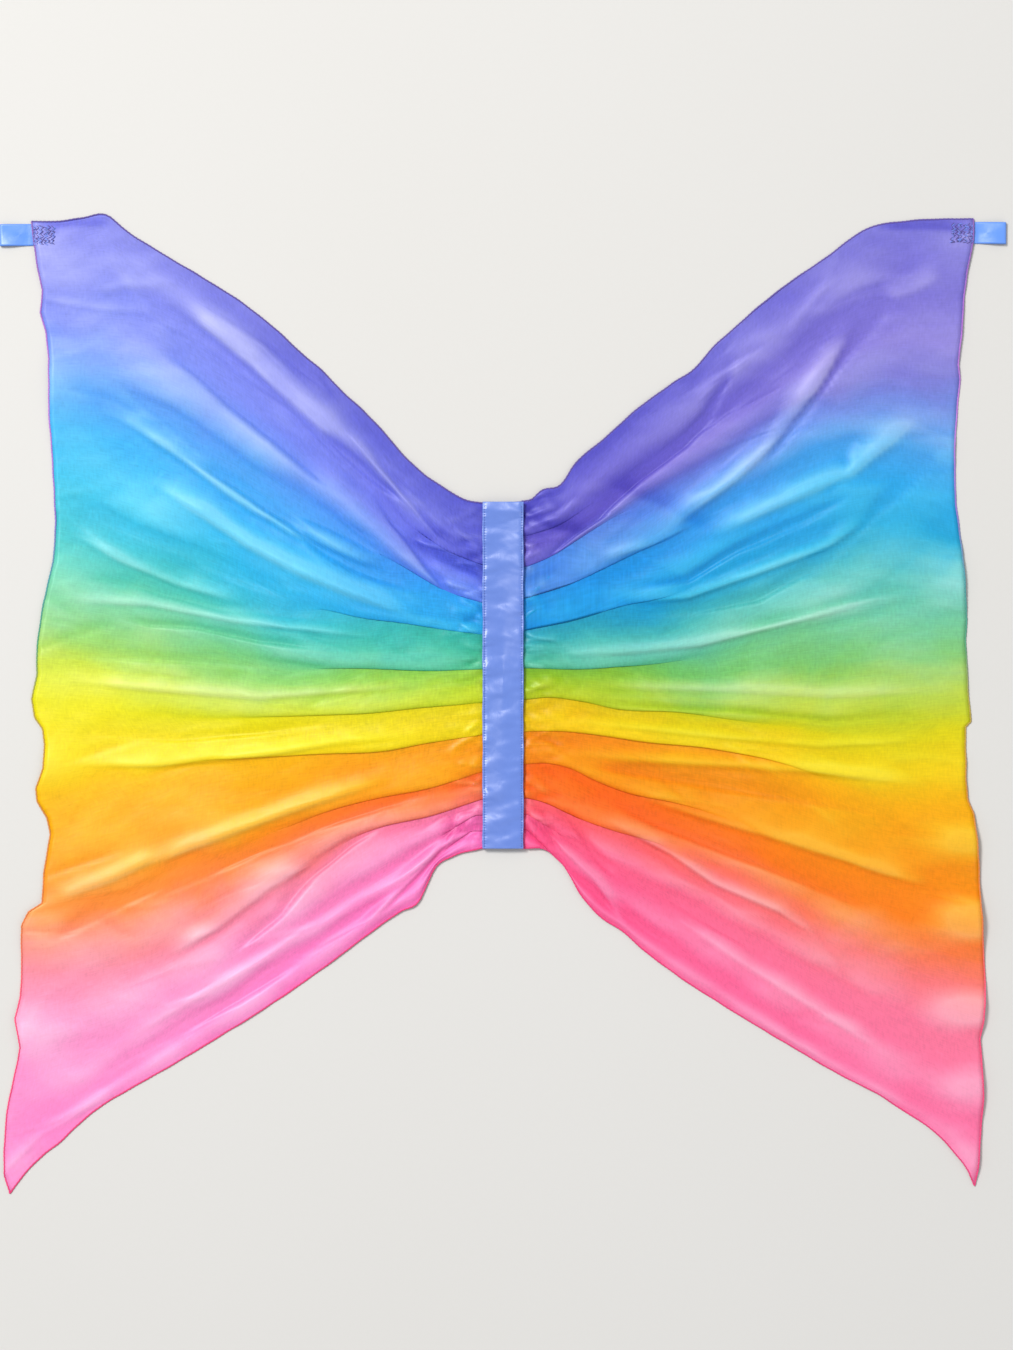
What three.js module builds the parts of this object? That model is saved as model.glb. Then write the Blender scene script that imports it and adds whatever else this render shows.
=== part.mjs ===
// Fairy wings: a silk square gathered along its middle between two satin ribbons, with a
// ribbon finger loop sewn into each upper corner and two elastic shoulder straps behind
// the spine. The wings lie open on a surface, worn side down.
//
// Frame: millimetres. The origin is on the surface (z = 0), in the middle of the outline.
// +X runs along the right wing, +Y to the top of the spine, +Z up, away from the wearer.
import * as THREE from 'three';

// Overall sizes
const HALF_SPAN = 460.2; // spine centre line to the outer end of a finger loop
const HEIGHT = 893; // hem to hem, top corners to lower tips
const SPINE_TOP = 185.7; // ribbon's upper end, above the middle of the height
const SPINE_BOTTOM = -130.8; // ribbon's lower end

// Spine
const RIBBON_WIDTH = 38.1;
const RIBBON_THICKNESS = 0.5;
const RIBBON_TURN_UNDER = 6; // length folded under at each end of a ribbon
const CORE_HEIGHT = 3.6; // gathered silk between the ribbons
const CORE_PLEATS = 12;
const CORE_PLEAT_DEPTH = 1.1;
const STITCH_INSET = 2.2; // ribbon's edge to its row of stitches
const STITCH_MARGIN = 1.5; // ribbon's end to the row's first stitch
const STITCH_RUN = 8; // one bulge of the thread for each run of stitches
const THREAD_DIAMETER = 0.4;
const GATHERING_SPACING = 14; // between the two hidden gathering threads

// Silk
const SILK_THICKNESS = 1;
const PLEATS = 8; // pleats that fan out across each wing
const PLEAT_HEIGHT = 7;
const PLEAT_HEIGHT_AT_SPINE = 2.9;
const PLEAT_CREST = 70; // distance from the spine where the pleats stand tallest
const PLEAT_HEIGHT_AT_SIDE = 1.4;
const HEM_DIAMETER = 1.4; // rolled and overlocked edge

// Finger loops
const LOOP_REACH = 30; // corner of the silk to the outer end of the loop
const LOOP_WIDTH = 20;
const LOOP_HEIGHT = 7.6;
const LOOP_SEAM_HEIGHT = 1.3; // both layers sewn flat
const LOOP_TURN = 1.2; // seam to the line that the loop turns about

// Shoulder straps
const STRAP_WIDTH = 8;
const STRAP_THICKNESS = 0.9;
const STRAP_TOP = 165; // middle of the upper end, along Y
const STRAP_BOTTOM = 5; // middle of the lower end
const STRAP_BOW = 92; // how far the strap's middle line stands out from the ribbon's edge
const TAB_LENGTH = 13; // sewn end under the ribbon
const TAB_THICKNESS = 0.85;
const TACK_THICKNESS = 0.35;
const STRAP_TURN = 0.8; // strap's end to the line that it turns about

// Care label
const LABEL_WIDTH = 30;
const LABEL_LENGTH = 38;
const LABEL_THICKNESS = 0.5;
const LABEL_TOP = -30;

// Clearances
const GAP = 0.3; // between pieces that touch
const TURN_GAP = 1.25; // ribbon's edge to the line that a wing folds about

// Heights of the layers, from the surface up
const tabBottom = TACK_THICKNESS + GAP;
const backRibbonBottom = tabBottom + TAB_THICKNESS + GAP;
const coreBottom = backRibbonBottom + RIBBON_THICKNESS + GAP;
const gatheringBottom = coreBottom + CORE_HEIGHT + GAP;
const frontRibbonBottom = gatheringBottom + THREAD_DIAMETER + GAP;
const frontRibbonTop = frontRibbonBottom + RIBBON_THICKNESS;

// Lines across the width
const ribbonEdge = RIBBON_WIDTH / 2;
const foldLine = ribbonEdge + TURN_GAP;
const silkStart = foldLine + GAP;
const hemReach = GAP + HEM_DIAMETER;
const cornerX = HALF_SPAN - LOOP_REACH;
const silkTop = HEIGHT / 2 - hemReach;
const silkBottom = -silkTop;
const strapHinge = ribbonEdge + GAP;
const strapReach = strapHinge + STRAP_TURN + STRAP_BOW + STRAP_WIDTH / 2;

// Outlines. Upper and lower edges: share of the way from the spine to the corner or tip,
// share of the rise or fall. Sides: share of the way down from corner to tip, and how far
// the edge waves out past the straight line between them, in mm.
const LEFT_WING = {
  name: 'left',
  side: -1,
  cornerX,
  cornerDrop: 4.6,
  tipX: cornerX + 20.5,
  tipRise: 0,
  top: [[0, 0], [0.045, 0.015], [0.09, 0.057], [0.179, 0.174], [0.268, 0.33], [0.402, 0.529],
    [0.536, 0.709], [0.714, 0.883], [0.835, 1.017], [0.897, 1.009], [1, 1]],
  outer: [[0, 0], [0.045, -7.4], [0.113, -14.1], [0.24, -19.6], [0.31, -24.6], [0.37, -24.2],
    [0.43, -18], [0.49, -9], [0.53, -19.6], [0.59, -14.4], [0.63, -25.8], [0.7, -24],
    [0.74, -5.3], [0.83, -1.8], [0.86, -6.8], [0.92, 5], [0.97, 6.3], [1, 0]],
  bottom: [[0, 0], [0.06, 0.024], [0.105, 0.061], [0.13, 0.152], [0.219, 0.226], [0.386, 0.397],
    [0.555, 0.545], [0.731, 0.681], [0.857, 0.809], [0.93, 0.892], [1, 1]],
};
const RIGHT_WING = {
  name: 'right',
  side: 1,
  cornerX,
  cornerDrop: 2.7,
  tipX: cornerX + 1,
  tipRise: 5.5,
  top: [[0, 0], [0.032, 0.036], [0.082, 0.064], [0.108, 0.128], [0.167, 0.209], [0.256, 0.334],
    [0.41, 0.528], [0.479, 0.631], [0.614, 0.805], [0.774, 0.977], [0.926, 1], [1, 1]],
  outer: [[0, 0], [0.05, -7], [0.13, -12], [0.23, -16], [0.29, -16], [0.37, -9], [0.47, -7],
    [0.53, -8.5], [0.61, 0], [0.7, 5], [0.79, 10], [0.83, 6.5], [0.9, 8], [0.96, 5], [1, 0]],
  bottom: [[0, 0], [0.05, 0.006], [0.083, 0.05], [0.128, 0.145], [0.207, 0.234], [0.345, 0.385],
    [0.523, 0.533], [0.702, 0.672], [0.88, 0.816], [0.97, 0.935], [1, 1]],
};
const WIDTH_STEPS = 16;
const HEIGHT_STEPS = 4 * PLEATS; // a step at each ridge, each valley and halfway
const HEM_END = 0.1; // share of the last step that the side hem leaves bare at the tip

// Materials
const satin = { color: 0x80a4f2, roughness: 0.35, metalness: 0 };
const silk = { color: 0x7fc4c8, roughness: 0.45, metalness: 0 };
const hemThread = { color: 0x8a5fb0, roughness: 0.8, metalness: 0 };
const blueThread = { color: 0x6f92e6, roughness: 0.7, metalness: 0 };
const whiteThread = { color: 0xf1eee8, roughness: 0.8, metalness: 0 };
const elastic = { color: 0xf4f1ec, roughness: 0.85, metalness: 0 };
const label = { color: 0xf6f4ef, roughness: 0.6, metalness: 0 };

const wings = new THREE.Group();

function add(name, geometry, look, x = 0, y = 0, z = 0) {
  const mesh = new THREE.Mesh(geometry, new THREE.MeshStandardMaterial(look));
  mesh.name = name;
  mesh.position.set(x, y, z);
  wings.add(mesh);
  return mesh;
}

// A closed body from its corners and triangles, with every face turned outwards
function closedBody(corners, triangles) {
  let volume = 0;
  for (let t = 0; t < triangles.length; t += 3) {
    const [a, b, c] = [0, 1, 2].map((k) => corners[triangles[t + k]]);
    volume += a.dot(b.clone().cross(c));
  }
  const outward = volume > 0 ? triangles : triangles.slice().reverse();
  const geometry = new THREE.BufferGeometry().setFromPoints(corners);
  geometry.setIndex(outward);
  geometry.computeVertexNormals();
  return geometry;
}

function addQuad(triangles, a, b, c, d) {
  triangles.push(a, b, c, a, c, d);
}

// A sheet with a wall: its upper and lower faces are grids of points, joined all round
function sheet(upper, lower) {
  const rows = upper.length;
  const columns = upper[0].length;
  const corners = [...upper.flat(), ...lower.flat()];
  const up = (i, j) => i * columns + j;
  const down = (i, j) => rows * columns + up(i, j);
  const triangles = [];
  for (let i = 0; i < rows - 1; i += 1) {
    for (let j = 0; j < columns - 1; j += 1) {
      addQuad(triangles, up(i, j), up(i + 1, j), up(i + 1, j + 1), up(i, j + 1));
      addQuad(triangles, down(i, j), down(i, j + 1), down(i + 1, j + 1), down(i + 1, j));
    }
    addQuad(triangles, up(i + 1, 0), up(i, 0), down(i, 0), down(i + 1, 0));
    const last = columns - 1;
    addQuad(triangles, up(i, last), up(i + 1, last), down(i + 1, last), down(i, last));
  }
  for (let j = 0; j < columns - 1; j += 1) {
    addQuad(triangles, up(0, j), up(0, j + 1), down(0, j + 1), down(0, j));
    addQuad(triangles, up(rows - 1, j + 1), up(rows - 1, j), down(rows - 1, j), down(rows - 1, j + 1));
  }
  return closedBody(corners, triangles);
}

// A round bead that lies just outside an edge. Each ring stands across the edge.
function edgeBead(edge, outward, diameter, sides = 6) {
  const corners = [];
  const triangles = [];
  const reach = GAP + diameter / 2;
  edge.forEach((point, k) => {
    for (let n = 0; n < sides; n += 1) {
      const angle = (2 * Math.PI * n) / sides;
      const along = reach + (Math.cos(angle) * diameter) / 2;
      const corner = point.clone().addScaledVector(outward[k], along);
      corner.z += (Math.sin(angle) * diameter) / 2;
      corners.push(corner);
    }
  });
  const ring = (k, n) => k * sides + (n % sides);
  for (let k = 0; k < edge.length - 1; k += 1) {
    for (let n = 0; n < sides; n += 1) {
      addQuad(triangles, ring(k, n), ring(k, n + 1), ring(k + 1, n + 1), ring(k + 1, n));
    }
  }
  const end = edge.length - 1;
  for (let n = 1; n < sides - 1; n += 1) {
    triangles.push(ring(0, 0), ring(0, n + 1), ring(0, n));
    triangles.push(ring(end, 0), ring(end, n), ring(end, n + 1));
  }
  return closedBody(corners, triangles);
}

function smoothCurve(points) {
  return new THREE.CatmullRomCurve3(points, false, 'centripetal');
}

// Evenly spaced in width across the wing, finer near the spine
function widthShare(i) {
  return (i / WIDTH_STEPS) ** 1.3;
}

// Where a smooth edge passes a share of its way in the direction it is stepped in
function pointsAlong(curve, shares, key) {
  const fine = curve.getPoints(600);
  const first = fine[0][key];
  const whole = fine[fine.length - 1][key] - first;
  return shares.map((share) => {
    const k = Math.max(1, fine.findIndex((p) => (p[key] - first) / whole >= share - 1e-9));
    const [a, b] = [fine[k - 1], fine[k]];
    const part = (first + whole * share - a[key]) / (b[key] - a[key]);
    return a.clone().lerp(b, THREE.MathUtils.clamp(part, 0, 1));
  });
}

// The four edges of a wing, as points at the grid's steps
function wingEdges(wing) {
  const corner = new THREE.Vector2(wing.cornerX, silkTop - wing.cornerDrop);
  const tip = new THREE.Vector2(wing.tipX, silkBottom + wing.tipRise);
  const across = (shares, endX, startY, endY) => smoothCurve(shares.map(([s, f]) => (
    new THREE.Vector3(silkStart + s * (endX - silkStart), startY + f * (endY - startY), 0))));
  const top = across(wing.top, corner.x, SPINE_TOP, corner.y);
  const bottom = across(wing.bottom, tip.x, SPINE_BOTTOM, tip.y);
  const outer = smoothCurve(wing.outer.map(([t, wave]) => (
    new THREE.Vector3(corner.x + t * (tip.x - corner.x) + wave, corner.y + t * (tip.y - corner.y), 0))));
  const widths = Array.from({ length: WIDTH_STEPS + 1 }, (_, i) => widthShare(i));
  const heights = Array.from({ length: HEIGHT_STEPS + 1 }, (_, j) => j / HEIGHT_STEPS);
  return {
    widths,
    heights,
    top: pointsAlong(top, widths, 'x'),
    bottom: pointsAlong(bottom, widths, 'x'),
    outer: pointsAlong(outer, heights.map((v) => 1 - v).reverse(), 'y').reverse(),
  };
}

// Height of the silk's underside, from the distance to the fold line and the share of the
// way up the silk. It clears the straps near the spine and rests on the surface beyond.
function silkHeight(distance, share, width) {
  const { lerp, smoothstep } = THREE.MathUtils;
  const strapEnd = strapReach - foldLine;
  const clear = lerp(coreBottom, 0, smoothstep(distance, strapEnd + 12, strapEnd + 80));
  const rise = lerp(PLEAT_HEIGHT_AT_SPINE, PLEAT_HEIGHT, smoothstep(distance, 4, PLEAT_CREST));
  const fall = lerp(1, PLEAT_HEIGHT_AT_SIDE / PLEAT_HEIGHT, smoothstep(distance, PLEAT_CREST, width));
  const ridge = 0.5 - 0.5 * Math.cos(2 * Math.PI * PLEATS * share);
  return clear + rise * fall * ridge;
}

// The wing's plan, blended between its four edges
function wingPoint(edges, i, j) {
  const u = edges.widths[i];
  const v = edges.heights[j];
  const { top, bottom, outer } = edges;
  const spineY = (share) => SPINE_BOTTOM + share * (SPINE_TOP - SPINE_BOTTOM);
  const last = WIDTH_STEPS;
  const blend = (key, inner) => (1 - v) * bottom[i][key] + v * top[i][key]
    + (1 - u) * inner + u * outer[j][key]
    - (1 - u) * ((1 - v) * bottom[0][key] + v * top[0][key])
    - u * ((1 - v) * bottom[last][key] + v * top[last][key]);
  return new THREE.Vector3(blend('x', silkStart), blend('y', spineY(v)), 0);
}

// Unit vectors that point out of the silk along an edge
function outwardAlong(edge, sign) {
  return edge.map((_, k) => {
    const before = edge[Math.max(0, k - 1)];
    const after = edge[Math.min(edge.length - 1, k + 1)];
    const way = after.clone().sub(before).setZ(0).normalize();
    return new THREE.Vector3(-way.y * sign, way.x * sign, 0);
  });
}

// A thread that runs to and fro across a seam, as a flat band of even width
function zigzag(length, width, legs, thread, depth) {
  const corner = (k) => new THREE.Vector2((k / legs) * length, ((k % 2) - 0.5) * (width - thread));
  const corners = Array.from({ length: legs + 1 }, (_, k) => corner(k));
  const lift = (p, by) => new THREE.Vector2(p.x - length / 2, p.y + by);
  const upper = corners.map((p) => lift(p, thread / 2));
  const lower = corners.map((p) => lift(p, -thread / 2)).reverse();
  return new THREE.ExtrudeGeometry(new THREE.Shape([...upper, ...lower]), {
    depth,
    bevelEnabled: false,
  });
}

function addWing(wing) {
  const { name, side } = wing;
  const edges = wingEdges(wing);
  const width = wing.cornerX - foldLine;
  const place = (i, j, lift) => {
    const point = wingPoint(edges, i, j);
    point.z = silkHeight(point.x - foldLine, edges.heights[j], width) + lift;
    point.x *= side;
    return point;
  };
  const columns = edges.heights.map((_, j) => j);
  const rows = edges.widths.map((_, i) => i);
  const face = (lift) => rows.map((i) => columns.map((j) => place(i, j, lift)));
  add(`silk_wing_${name}`, sheet(face(SILK_THICKNESS), face(0)), silk);

  const hemLift = HEM_DIAMETER / 2 + 0.05;
  const hem = (part, edge, sign) => {
    add(`hem_${part}_${name}`, edgeBead(edge, outwardAlong(edge, sign * side), HEM_DIAMETER), hemThread);
  };
  const last = WIDTH_STEPS;
  hem('top', rows.map((i) => place(i, HEIGHT_STEPS, hemLift)), 1);
  hem('bottom', rows.map((i) => place(i, 0, hemLift)), -1);
  const tip = place(last, 0, hemLift).lerp(place(last, 1, hemLift), HEM_END);
  hem('side', [tip, ...columns.slice(1, -1).map((j) => place(last, j, hemLift))], -1);

  addFingerLoop(wing, place);
  return edges;
}

// The loop is a ribbon folded back on itself, open along Y, and sewn flat at the corner
function addFingerLoop({ name, side, cornerX: silkEnd, cornerDrop }, place) {
  const seam = silkEnd + GAP + LOOP_TURN;
  const end = HALF_SPAN;
  const bend = LOOP_HEIGHT / 2;
  const outline = (Kind, inset) => {
    const shape = new Kind();
    const start = inset ? seam + 5 * inset : seam;
    const seamTop = inset ? 2 * inset : LOOP_SEAM_HEIGHT;
    shape.moveTo(start, inset);
    shape.lineTo(end - bend, inset);
    shape.absarc(end - bend, bend, bend - inset, -Math.PI / 2, Math.PI / 2);
    shape.lineTo(seam + LOOP_REACH / 2, LOOP_HEIGHT - inset);
    shape.quadraticCurveTo(seam + 6 + inset, LOOP_HEIGHT - inset, start, seamTop);
    shape.closePath();
    return shape;
  };
  const shape = outline(THREE.Shape, 0);
  shape.holes.push(outline(THREE.Path, RIBBON_THICKNESS));
  const options = { depth: LOOP_WIDTH, bevelEnabled: false, curveSegments: 8 };
  const geometry = new THREE.ExtrudeGeometry(shape, options);
  geometry.rotateX(Math.PI / 2);
  const loopTop = silkTop - cornerDrop;
  const loop = add(`finger_loop_${name}`, geometry, satin, 0, loopTop, 0);
  if (side < 0) {
    geometry.rotateZ(Math.PI);
    loop.position.y -= LOOP_WIDTH;
  }

  const tackWidth = LOOP_WIDTH - 3;
  const tackReach = 20;
  const near = [WIDTH_STEPS - 1, WIDTH_STEPS];
  const over = [HEIGHT_STEPS - 1, HEIGHT_STEPS];
  const heights = near.flatMap((i) => over.map((j) => place(i, j, SILK_THICKNESS).z));
  const tack = zigzag(tackWidth, tackReach, 9, 1, TACK_THICKNESS);
  tack.rotateZ(Math.PI / 2);
  const tackX = side * (silkEnd - 3 - tackReach / 2);
  add(`corner_tack_${name}`, tack, hemThread, tackX, loopTop - LOOP_WIDTH / 2, Math.max(...heights) + GAP);
}

// A ribbon lying along Y, with both ends turned under; turn is 1 up or -1 down
function ribbon(bottom, turn) {
  const thick = RIBBON_THICKNESS;
  const outerBend = thick + GAP / 2;
  const innerBend = GAP / 2;
  const outerFace = turn > 0 ? bottom : bottom + thick;
  const middle = outerFace + turn * outerBend;
  const [low, high] = [SPINE_BOTTOM, SPINE_TOP];
  const arc = (centre, radius, from) => [0, 1, 2, 3, 4].map((k) => {
    const angle = from + (k * Math.PI) / 4;
    return [centre + radius * Math.cos(angle), middle + turn * radius * Math.sin(angle)];
  });
  const outer = [
    [low + RIBBON_TURN_UNDER, middle + turn * outerBend],
    ...arc(low + outerBend, outerBend, Math.PI / 2),
    [STRAP_BOTTOM + 2 * STRAP_WIDTH, outerFace],
    [STRAP_TOP - 2 * STRAP_WIDTH, outerFace],
    ...arc(high - outerBend, outerBend, -Math.PI / 2),
    [high - RIBBON_TURN_UNDER, middle + turn * outerBend],
  ];
  const inner = [
    [high - RIBBON_TURN_UNDER, middle + turn * innerBend],
    ...arc(high - outerBend, innerBend, -Math.PI / 2).reverse(),
    ...arc(low + outerBend, innerBend, Math.PI / 2).reverse(),
    [low + RIBBON_TURN_UNDER, middle + turn * innerBend],
  ];
  const shape = new THREE.Shape([...outer, ...inner].map(([y, z]) => new THREE.Vector2(y, z)));
  const geometry = new THREE.ExtrudeGeometry(shape, { depth: RIBBON_WIDTH, bevelEnabled: false });
  geometry.rotateX(Math.PI / 2);
  geometry.rotateZ(Math.PI / 2);
  geometry.translate(-ribbonEdge, 0, 0);
  return geometry;
}

// The gathered middle of the silk: small pleats side by side along the spine
function gatherCore() {
  const low = SPINE_BOTTOM + RIBBON_TURN_UNDER + GAP;
  const high = SPINE_TOP - RIBBON_TURN_UNDER - GAP;
  const steps = 4 * CORE_PLEATS;
  const top = Array.from({ length: steps + 1 }, (_, k) => {
    const pleat = 0.5 + 0.5 * Math.cos((2 * Math.PI * k) / 4);
    const z = coreBottom + CORE_HEIGHT - CORE_PLEAT_DEPTH * pleat;
    return new THREE.Vector2(high - (k / steps) * (high - low), z);
  });
  const base = [new THREE.Vector2(low, coreBottom), new THREE.Vector2(high, coreBottom)];
  const shape = new THREE.Shape([...base, ...top]);
  const half = ribbonEdge - GAP;
  const geometry = new THREE.ExtrudeGeometry(shape, { depth: 2 * half, bevelEnabled: false });
  geometry.rotateX(Math.PI / 2);
  geometry.rotateZ(Math.PI / 2);
  geometry.translate(-half, 0, 0);
  return geometry;
}

// A row of stitches as one thread, full at the middle of each stitch and thin where it dips
function stitchRow(low, high, pitch) {
  const count = Math.round((high - low) / pitch);
  const step = (high - low) / count;
  const full = THREAD_DIAMETER / 2;
  const profile = [new THREE.Vector2(0, low)];
  for (let k = 0; k < count; k += 1) {
    profile.push(new THREE.Vector2(full, low + (k + 0.5) * step));
    profile.push(new THREE.Vector2(k < count - 1 ? full / 2 : 0, low + (k + 1) * step));
  }
  return new THREE.LatheGeometry(profile, 5);
}

function addSpine() {
  add('spine_ribbon_back', ribbon(backRibbonBottom, 1), satin);
  add('silk_gather_core', gatherCore(), silk);
  add('spine_ribbon_front', ribbon(frontRibbonBottom, -1), satin);
  const end = RIBBON_TURN_UNDER + GAP + THREAD_DIAMETER;
  for (const [name, side] of [['left', -1], ['right', 1]]) {
    const gathering = stitchRow(SPINE_BOTTOM + end, SPINE_TOP - end, 2 * STITCH_RUN);
    const gatheringX = (side * GATHERING_SPACING) / 2;
    const gatheringZ = gatheringBottom + THREAD_DIAMETER / 2;
    add(`gathering_thread_${name}`, gathering, whiteThread, gatheringX, 0, gatheringZ);
    const row = stitchRow(SPINE_BOTTOM + STITCH_MARGIN, SPINE_TOP - STITCH_MARGIN, STITCH_RUN);
    const rowX = side * (ribbonEdge - STITCH_INSET);
    const rowZ = frontRibbonTop + GAP + THREAD_DIAMETER / 2;
    add(`spine_topstitch_${name}`, row, blueThread, rowX, 0, rowZ);
  }
}

// Half an ellipse from the upper end to the lower end, as wide as the elastic
function strapShape() {
  const centre = (STRAP_TOP + STRAP_BOTTOM) / 2;
  const radius = (STRAP_TOP - STRAP_BOTTOM) / 2;
  const start = strapHinge + STRAP_TURN;
  const bow = (offset) => new THREE.EllipseCurve(
    start, centre, STRAP_BOW + offset, radius + offset, Math.PI / 2, -Math.PI / 2, true).getPoints(24);
  const half = STRAP_WIDTH / 2;
  return new THREE.Shape([...bow(half), ...bow(-half).reverse()]);
}

function addStrap(name, side) {
  const depth = STRAP_THICKNESS;
  const strap = new THREE.ExtrudeGeometry(strapShape(), { depth, bevelEnabled: false });
  if (side < 0) {
    strap.rotateY(Math.PI);
  }
  add(`shoulder_strap_${name}`, strap, elastic, 0, 0, side < 0 ? depth : 0);
  for (const [end, y] of [['upper', STRAP_TOP], ['lower', STRAP_BOTTOM]]) {
    const tabX = side * (ribbonEdge - GAP - TAB_LENGTH / 2);
    const tab = new THREE.BoxGeometry(TAB_LENGTH, STRAP_WIDTH, TAB_THICKNESS);
    add(`strap_tab_${name}_${end}`, tab, elastic, tabX, y, tabBottom + TAB_THICKNESS / 2);
    const tack = zigzag(STRAP_WIDTH - 0.6, 3, 9, 0.5, TACK_THICKNESS);
    tack.rotateZ(Math.PI / 2);
    add(`strap_bartack_${name}_${end}`, tack, whiteThread, tabX, y, 0);
  }
}

function addLabel() {
  const geometry = new THREE.BoxGeometry(LABEL_LENGTH, LABEL_WIDTH, LABEL_THICKNESS);
  const x = ribbonEdge - STITCH_INSET - 6 + LABEL_LENGTH / 2;
  const z = backRibbonBottom - GAP - LABEL_THICKNESS / 2;
  add('care_label', geometry, label, x, LABEL_TOP - LABEL_WIDTH / 2, z);
}

addSpine();
addWing(LEFT_WING);
addWing(RIGHT_WING);
addStrap('left', -1);
addStrap('right', 1);
addLabel();

// The origin is the middle of the outline
const outline = new THREE.Box3().setFromObject(wings, true);
wings.position.y = -(outline.min.y + outline.max.y) / 2;

export default wings;
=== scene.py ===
"""Silk fairy wings, laid open on a pale table and seen from straight above.

Lengths are in millimetres until a mesh is made, in the frame of the CAD model: +X along the
right wing, +Y to the top of the spine, +Z up, with the surface at z = 0.
"""
import math

import bpy
import numpy as np
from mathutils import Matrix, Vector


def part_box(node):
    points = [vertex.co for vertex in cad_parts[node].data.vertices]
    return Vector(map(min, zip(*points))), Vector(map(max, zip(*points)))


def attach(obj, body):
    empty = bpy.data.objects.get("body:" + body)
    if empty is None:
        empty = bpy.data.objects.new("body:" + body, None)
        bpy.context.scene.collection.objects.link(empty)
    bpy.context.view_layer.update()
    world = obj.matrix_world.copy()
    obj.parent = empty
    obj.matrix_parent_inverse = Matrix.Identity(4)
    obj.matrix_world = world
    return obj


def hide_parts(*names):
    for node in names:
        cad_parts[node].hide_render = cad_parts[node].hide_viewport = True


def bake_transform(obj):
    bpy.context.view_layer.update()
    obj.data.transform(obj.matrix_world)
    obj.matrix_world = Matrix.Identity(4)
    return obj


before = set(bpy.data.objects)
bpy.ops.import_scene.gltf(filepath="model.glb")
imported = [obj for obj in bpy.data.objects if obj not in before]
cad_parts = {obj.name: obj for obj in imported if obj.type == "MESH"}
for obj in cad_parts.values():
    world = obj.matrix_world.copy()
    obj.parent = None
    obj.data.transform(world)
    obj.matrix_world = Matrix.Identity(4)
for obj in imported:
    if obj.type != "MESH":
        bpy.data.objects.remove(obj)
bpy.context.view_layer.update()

MM = 0.001
SIGN = {"left": -1.0, "right": 1.0}


def node_box(node):
    """Lowest and highest corner of a CAD node, in millimetres."""
    low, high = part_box(node)
    return np.array(low) / MM, np.array(high) / MM


ribbon_low, ribbon_high = node_box("spine_ribbon_front")
RIBBON_EDGE, SPINE_TOP, FRONT_FACE = ribbon_high
SPINE_BOTTOM = ribbon_low[1]
BACK_FACE = node_box("spine_ribbon_back")[0][2]
THREAD_RADIUS = 0.2
STITCH_LINE = node_box("spine_topstitch_right")[0][0] + THREAD_RADIUS


# ---------------------------------------------------------------- camera, lights and table

def add_camera():
    """A long lens straight above the wings, far enough up to take in the table round them:
    its view is view_height tall where it meets the table, about view_centre."""
    view_height = 1235.0 * MM
    view_centre = (3.2 * MM, 27.2 * MM)
    sensor, lens = 36.0, 85.0
    data = bpy.data.cameras.new("camera")
    data.sensor_width = sensor
    data.lens = lens
    camera = bpy.data.objects.new("camera", data)
    camera.location = (*view_centre, view_height * lens / sensor)
    bpy.context.collection.objects.link(camera)
    bpy.context.scene.camera = camera


def add_area_light(name, place, size, power, colour):
    """A square soft box at a place in metres, turned towards the spine."""
    data = bpy.data.lights.new(name, "AREA")
    data.size = size
    data.energy = power
    data.color = colour
    lamp = bpy.data.objects.new(name, data)
    lamp.location = place
    x, y, z = place
    lamp.rotation_euler = (math.atan2(math.hypot(x, y), z), 0.0, math.atan2(y, x) + math.pi / 2)
    bpy.context.collection.objects.link(lamp)


def add_light():
    """Daylight from the upper left, a weak fill from the right, and pale air all round."""
    add_area_light("window", (-2.3, 2.2, 4.6), 1.5, 305.0, (1.0, 0.985, 0.96))
    add_area_light("fill", (1.9, -1.1, 2.4), 1.8, 10.0, (0.97, 0.98, 1.0))
    world = bpy.data.worlds.new("air")
    world.use_nodes = True
    air = world.node_tree.nodes["Background"]
    air.inputs["Color"].default_value = (0.93, 0.94, 0.97, 1.0)
    air.inputs["Strength"].default_value = 0.62
    scene = bpy.context.scene
    scene.world = world
    scene.view_settings.view_transform = "Standard"


add_camera()
add_light()


# ---------------------------------------------------------------- materials

def new_material(name):
    """A material and a function that adds one node to it, with its inputs set or linked."""
    material = bpy.data.materials.new(name)
    material.use_nodes = True
    tree = material.node_tree
    tree.nodes.clear()

    def make(kind, inputs=None, **settings):
        node = tree.nodes.new("ShaderNode" + kind)
        for key, value in settings.items():
            setattr(node, key, value)
        for key, value in (inputs or {}).items():
            if isinstance(value, bpy.types.NodeSocket):
                tree.links.new(value, node.inputs[key])
            else:
                node.inputs[key].default_value = value
        return node

    return material, make


def coordinates(make):
    """A piece's own coordinates: laid flat, as its cloth was cut, and in its place in space."""
    return make("UVMap", uv_map="cloth").outputs[0], make("TexCoord").outputs["Object"]


def bump(make, height, strength, distance, below=None):
    """Relief in the shading, on top of the relief below it where that is given."""
    inputs = {"Height": height, "Strength": strength, "Distance": distance}
    if below is not None:
        inputs["Normal"] = below
    return make("Bump", inputs).outputs[0]


def calc(make, operation, a, b):
    return make("Math", {0: a, 1: b}, operation=operation).outputs[0]


def stretched(make, source, scale, turn=0.0):
    """Coordinates scaled along each axis, which draws a pattern out into streaks."""
    vector = {"Vector": source, "Scale": scale, "Rotation": (0.0, 0.0, turn)}
    return make("Mapping", vector).outputs[0]


def noise(make, vector, scale, detail=3.0, roughness=0.5, distortion=0.0):
    inputs = {"Vector": vector, "Scale": scale, "Detail": detail, "Roughness": roughness}
    inputs["Distortion"] = distortion
    return make("TexNoise", inputs).outputs["Fac"]


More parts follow.
